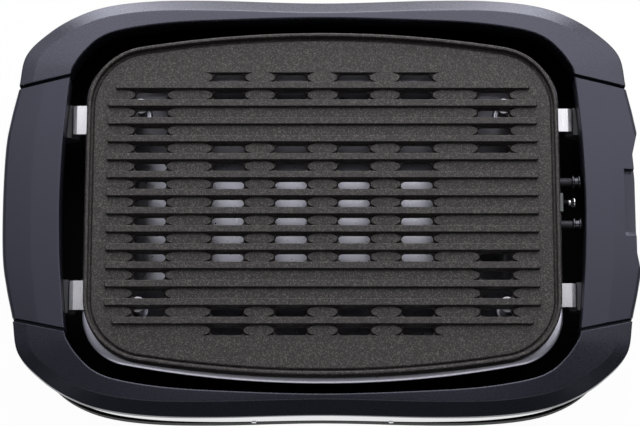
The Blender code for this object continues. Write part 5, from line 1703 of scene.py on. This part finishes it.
@dataclass
class ElementAndTerminals(Assembly):
    """The sheathed element with its pins and collars, and the probe's block and sleeve between them."""

    pin_radius: float = 2.2 * MM
    pin_end: float = 195.6 * MM
    collar_x: float = 188.9 * MM
    collar_length: float = 5.9 * MM
    collar_radius: float = 5.5 * MM
    lead_radius: float = 3.1 * MM
    waist_radius: float = 3.9 * MM
    flange: float = 1.3 * MM
    probe_y: float = 2.4 * MM
    block_x: float = 178.4 * MM
    block_top: float = 78.7 * MM
    block_size: tuple[float, float, float] = (7 * MM, 14.8 * MM, 6.4 * MM)
    sleeve_radius: float = 2.6 * MM
    sleeve_bore: float = 1.8 * MM
    sleeve_end: float = 190.6 * MM
    mouth_radius: float = 4.8 * MM
    mouth_length: float = 2.4 * MM
    carrier: ClassVar[Carrier] = Carrier.PLATE

    def build(self) -> None:
        """Makes the tube, the pins, the collars, the block and the sleeve."""
        tube = drawn_out("element_tube", swept_rings(ELEMENT.points(), ELEMENT.section(ELEMENT.radius)))
        self.keep(softened(tube, 0.3 * MM), "heating_element", Slot.SHEATH, SHEATH_STEEL)
        for label, y in (("back", ELEMENT.back_y), ("front", ELEMENT.front_y)):
            self.build_terminal(label, y)
        self.build_probe()

    def build_terminal(self, label: str, y: float) -> None:
        """Makes one pin and its collar.

        Args:
            label: Which of the two it is.
            y: Its place along Y.
        """
        start = ELEMENT.lead_x + BODY.gap
        step, length = self.collar_x - BODY.gap - start, self.pin_end - start
        pin = (
            (1.2 * MM, 0, 0),
            (self.lead_radius, 0, 0.3 * MM),
            (self.lead_radius, step, 0.3 * MM),
            (self.pin_radius, step, 0),
            (self.pin_radius, length, 0.9 * MM),
            (0.9 * MM, length, 0),
        )
        made = laid(turned(f"pin_{label}", pin, sides=32), (start, y, ELEMENT.height), True)
        self.keep(softened(made, 0.0), f"terminal_pin_{label}", Slot.SHEATH, PIN_STEEL)
        bore = self.pin_radius + BODY.gap
        length, edge = self.collar_length, 0.4 * MM
        collar = (
            (bore, 0, 0.2 * MM), (self.collar_radius, 0, edge), (self.collar_radius, self.flange, edge),
            (self.waist_radius, self.flange, edge), (self.waist_radius, length - self.flange, edge),
            (self.collar_radius, length - self.flange, edge), (self.collar_radius, length, edge),
            (bore, length, 0.2 * MM),
        )
        made = laid(spun(f"collar_{label}", collar, 3), (self.collar_x, y, ELEMENT.height), True)
        self.keep(softened(made, 0.0), f"terminal_collar_{label}", Slot.LUG, COLLAR_STEEL)

    def build_probe(self) -> None:
        """Makes the bored block and the sleeve with its bell mouth."""
        half = [size / 2 for size in self.block_size]
        height = self.block_top - half[2]
        low = (self.block_x - half[0], self.probe_y - half[1], height - half[2])
        high = (self.block_x + half[0], self.probe_y + half[1], height + half[2])
        body = block("guide_block", low, high, 0.6 * MM)
        reach = self.sleeve_radius + BODY.gap
        bore = turned("bore", ((reach, -2 * MM, 0), (reach, 11 * MM, 0)), sides=32)
        combine(body, [laid(bore, (low[0], self.probe_y, height), True)], "DIFFERENCE")
        self.keep(softened(body, 0.0), "probe_block", Slot.ZINC, BLOCK_ZINC)
        length = self.sleeve_end - low[0]
        wall = self.sleeve_radius - self.sleeve_bore
        neck = length - self.mouth_length
        sleeve = (
            (self.mouth_radius - wall, length, 0.3 * MM),
            (self.mouth_radius, length, 0.3 * MM),
            (self.mouth_radius - 0.2 * MM, length - wall, 0.5 * MM),
            (self.sleeve_radius, neck - wall, 1.2 * MM),
            (self.sleeve_radius, 0, 0.2 * MM),
            (self.sleeve_bore, 0, 0.2 * MM),
            (self.sleeve_bore, neck, 1.2 * MM),
        )
        made = laid(spun("guide_sleeve", sleeve), (low[0], self.probe_y, height), True)
        self.keep(softened(made, 0.0), "probe_sleeve", Slot.TRIM, SLEEVE_STEEL)


# The room


@dataclass
class Studio:
    """A pale floor, a dim sky that is darker in front, three soft lights, and the camera.

    Each span of the sky gives where it starts and ends, and how bright the sky is there. Each light has a
    name, a width and height, a power in watts and a place.
    """

    floor_size: float = 30.0
    floor_white: float = 0.97
    lens: float = 146.25
    camera_place: tuple[float, float, float] = (-0.0019, -0.4803, 1.981)
    tilt: float = 14.0
    sky_front: tuple[float, ...] = (-0.2, 0.5, 0.1, 0.7)
    sky_side: tuple[float, ...] = (0.0, 0.45, 1.28, 0.55)
    sky_shift: float = 0.06
    lights: tuple[tuple, ...] = (
        ("back_softbox", (1.6, 0.5), 17.0, (0, 1.3, 0.32)),
        ("high_softbox", (2.2, 1.3), 19.0, (0.2, 0.95, 1.3)),
        ("front_softbox", (2.4, 0.6), 5.4, (0, -1.25, 2.2)),
    )

    def build(self) -> None:
        """Makes the floor, the sky, the light and the camera."""
        self.build_floor()
        self.build_sky()
        for light in self.lights:
            self.build_light(*light)
        data = bpy.data.cameras.new("camera")
        data.lens = self.lens
        data.sensor_width = 36
        data.clip_end = 100
        camera = bpy.data.objects.new("camera", data)
        camera.location = self.camera_place
        camera.rotation_euler = (math.radians(self.tilt), 0, 0)
        bpy.context.scene.collection.objects.link(camera)
        bpy.context.scene.camera = camera
        bpy.context.scene.view_settings.view_transform = "Standard"

    def build_floor(self) -> None:
        """A wide pale floor, nearly white to the camera, that keeps the object's shadow."""
        bpy.ops.object.select_all(action="DESELECT")
        bpy.ops.mesh.primitive_plane_add(size=self.floor_size)
        floor = named(bpy.context.object, "studio_floor")
        bpy.ops.object.transform_apply(location=True, rotation=True, scale=True)
        material = bpy.data.materials.new("pale_studio_floor")
        material.use_nodes = True
        tree = material.node_tree
        shader = tree.nodes["Principled BSDF"]
        shader.inputs["Base Color"].default_value = linear("#f2f2f2")
        shader.inputs["Roughness"].default_value = 0.9
        path = add_node(tree, "ShaderNodeLightPath")
        seen = path.outputs["Is Camera Ray"]
        for name in ("Is Glossy Ray", "Is Transmission Ray"):
            seen = self.sum_up(tree, "MAXIMUM", seen, path.outputs[name])
        share = self.sum_up(tree, "MULTIPLY", seen, self.floor_white)
        white = add_node(tree, "ShaderNodeEmission", {"Color": (1, 1, 1, 1), "Strength": 1.0})
        mixed = add_node(
            tree,
            "ShaderNodeMixShader",
            {0: share, 1: shader.outputs["BSDF"], 2: white.outputs["Emission"]},
        )
        tree.links.new(mixed.outputs[0], tree.nodes["Material Output"].inputs["Surface"])
        floor.data.materials.append(material)

    def build_sky(self) -> None:
        """A dim soft sky, darker in front and at both sides."""
        world = bpy.data.worlds.new("studio_sky")
        world.use_nodes = True
        bpy.context.scene.world = world
        tree = world.node_tree
        where = add_node(tree, "ShaderNodeTexCoord").outputs["Generated"]
        axes = add_node(tree, "ShaderNodeSeparateXYZ", {"Vector": where})
        shifted = self.sum_up(tree, "ADD", axes.outputs["X"], self.sky_shift)
        aside = self.sum_up(tree, "ABSOLUTE", shifted)
        levels = []
        for value, span in ((axes.outputs["Y"], self.sky_front), (aside, self.sky_side)):
            inputs = dict(zip(("From Min", "From Max", "To Min", "To Max"), span))
            inputs["Value"] = value
            node = add_node(tree, "ShaderNodeMapRange", inputs, interpolation_type="SMOOTHSTEP")
            levels.append(node.outputs["Result"])
        background = tree.nodes["Background"]
        background.inputs["Color"].default_value = (0.96, 0.97, 1.0, 1)
        tree.links.new(self.sum_up(tree, "MULTIPLY", *levels), background.inputs["Strength"])

    def sum_up(self, tree: Tree, operation: str, *values: Socket | float) -> Socket:
        """The result of a sum, such as ADD, on values or sockets."""
        return add_node(tree, "ShaderNodeMath", dict(enumerate(values)), operation=operation).outputs[0]

    def build_light(
        self, name: str, size: tuple[float, float], energy: float, place: Sequence[float]
    ) -> None:
        """A soft rectangular light that faces the object.

        Args:
            name: The light's name.
            size: Its width and height.
            energy: Its power in watts.
            place: Where its middle is.
        """
        data = bpy.data.lights.new(name, "AREA")
        data.shape = "RECTANGLE"
        data.size, data.size_y = size
        data.energy = energy
        light = bpy.data.objects.new(name, data)
        light.location = place
        light.rotation_euler = Vector(place).to_track_quat("Z", "Y").to_euler()
        light.visible_camera = False
        bpy.context.scene.collection.objects.link(light)


def dress_screws() -> None:
    """Gives the hidden screws, which stay as they are packed, their zinc."""
    for node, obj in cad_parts.items():
        if "_screw_" in node:
            obj.data.materials.clear()
            obj.data.materials.append(ZINC_PLATE.material())
            log.info("%s: kept, %s", node, ZINC_PLATE.title)


def main() -> None:
    """Builds and dresses the grill, one sub-assembly after another, and then the room."""
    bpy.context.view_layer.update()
    port = PlugPort()
    parts = [
        BaseTub(port),
        Rim("back_rim", "rim_back", BODY.quarter_steps),
        Rim("front_rim", "rim_front", 3 * BODY.quarter_steps),
        Handle("left_handle", "handle_left", -1),
        Handle("right_handle", "handle_right", 1, port),
        FrontStrip(),
        Feet(),
        PanRests(),
        PressedPan(),
        PanStraps(),
        CastPlate(),
        PlateLegs(),
        ElementAndTerminals(),
    ]
    for part in parts:
        part.build()
        part.dress()
    dress_screws()
    Studio().build()


if __name__ == "__main__":
    main()
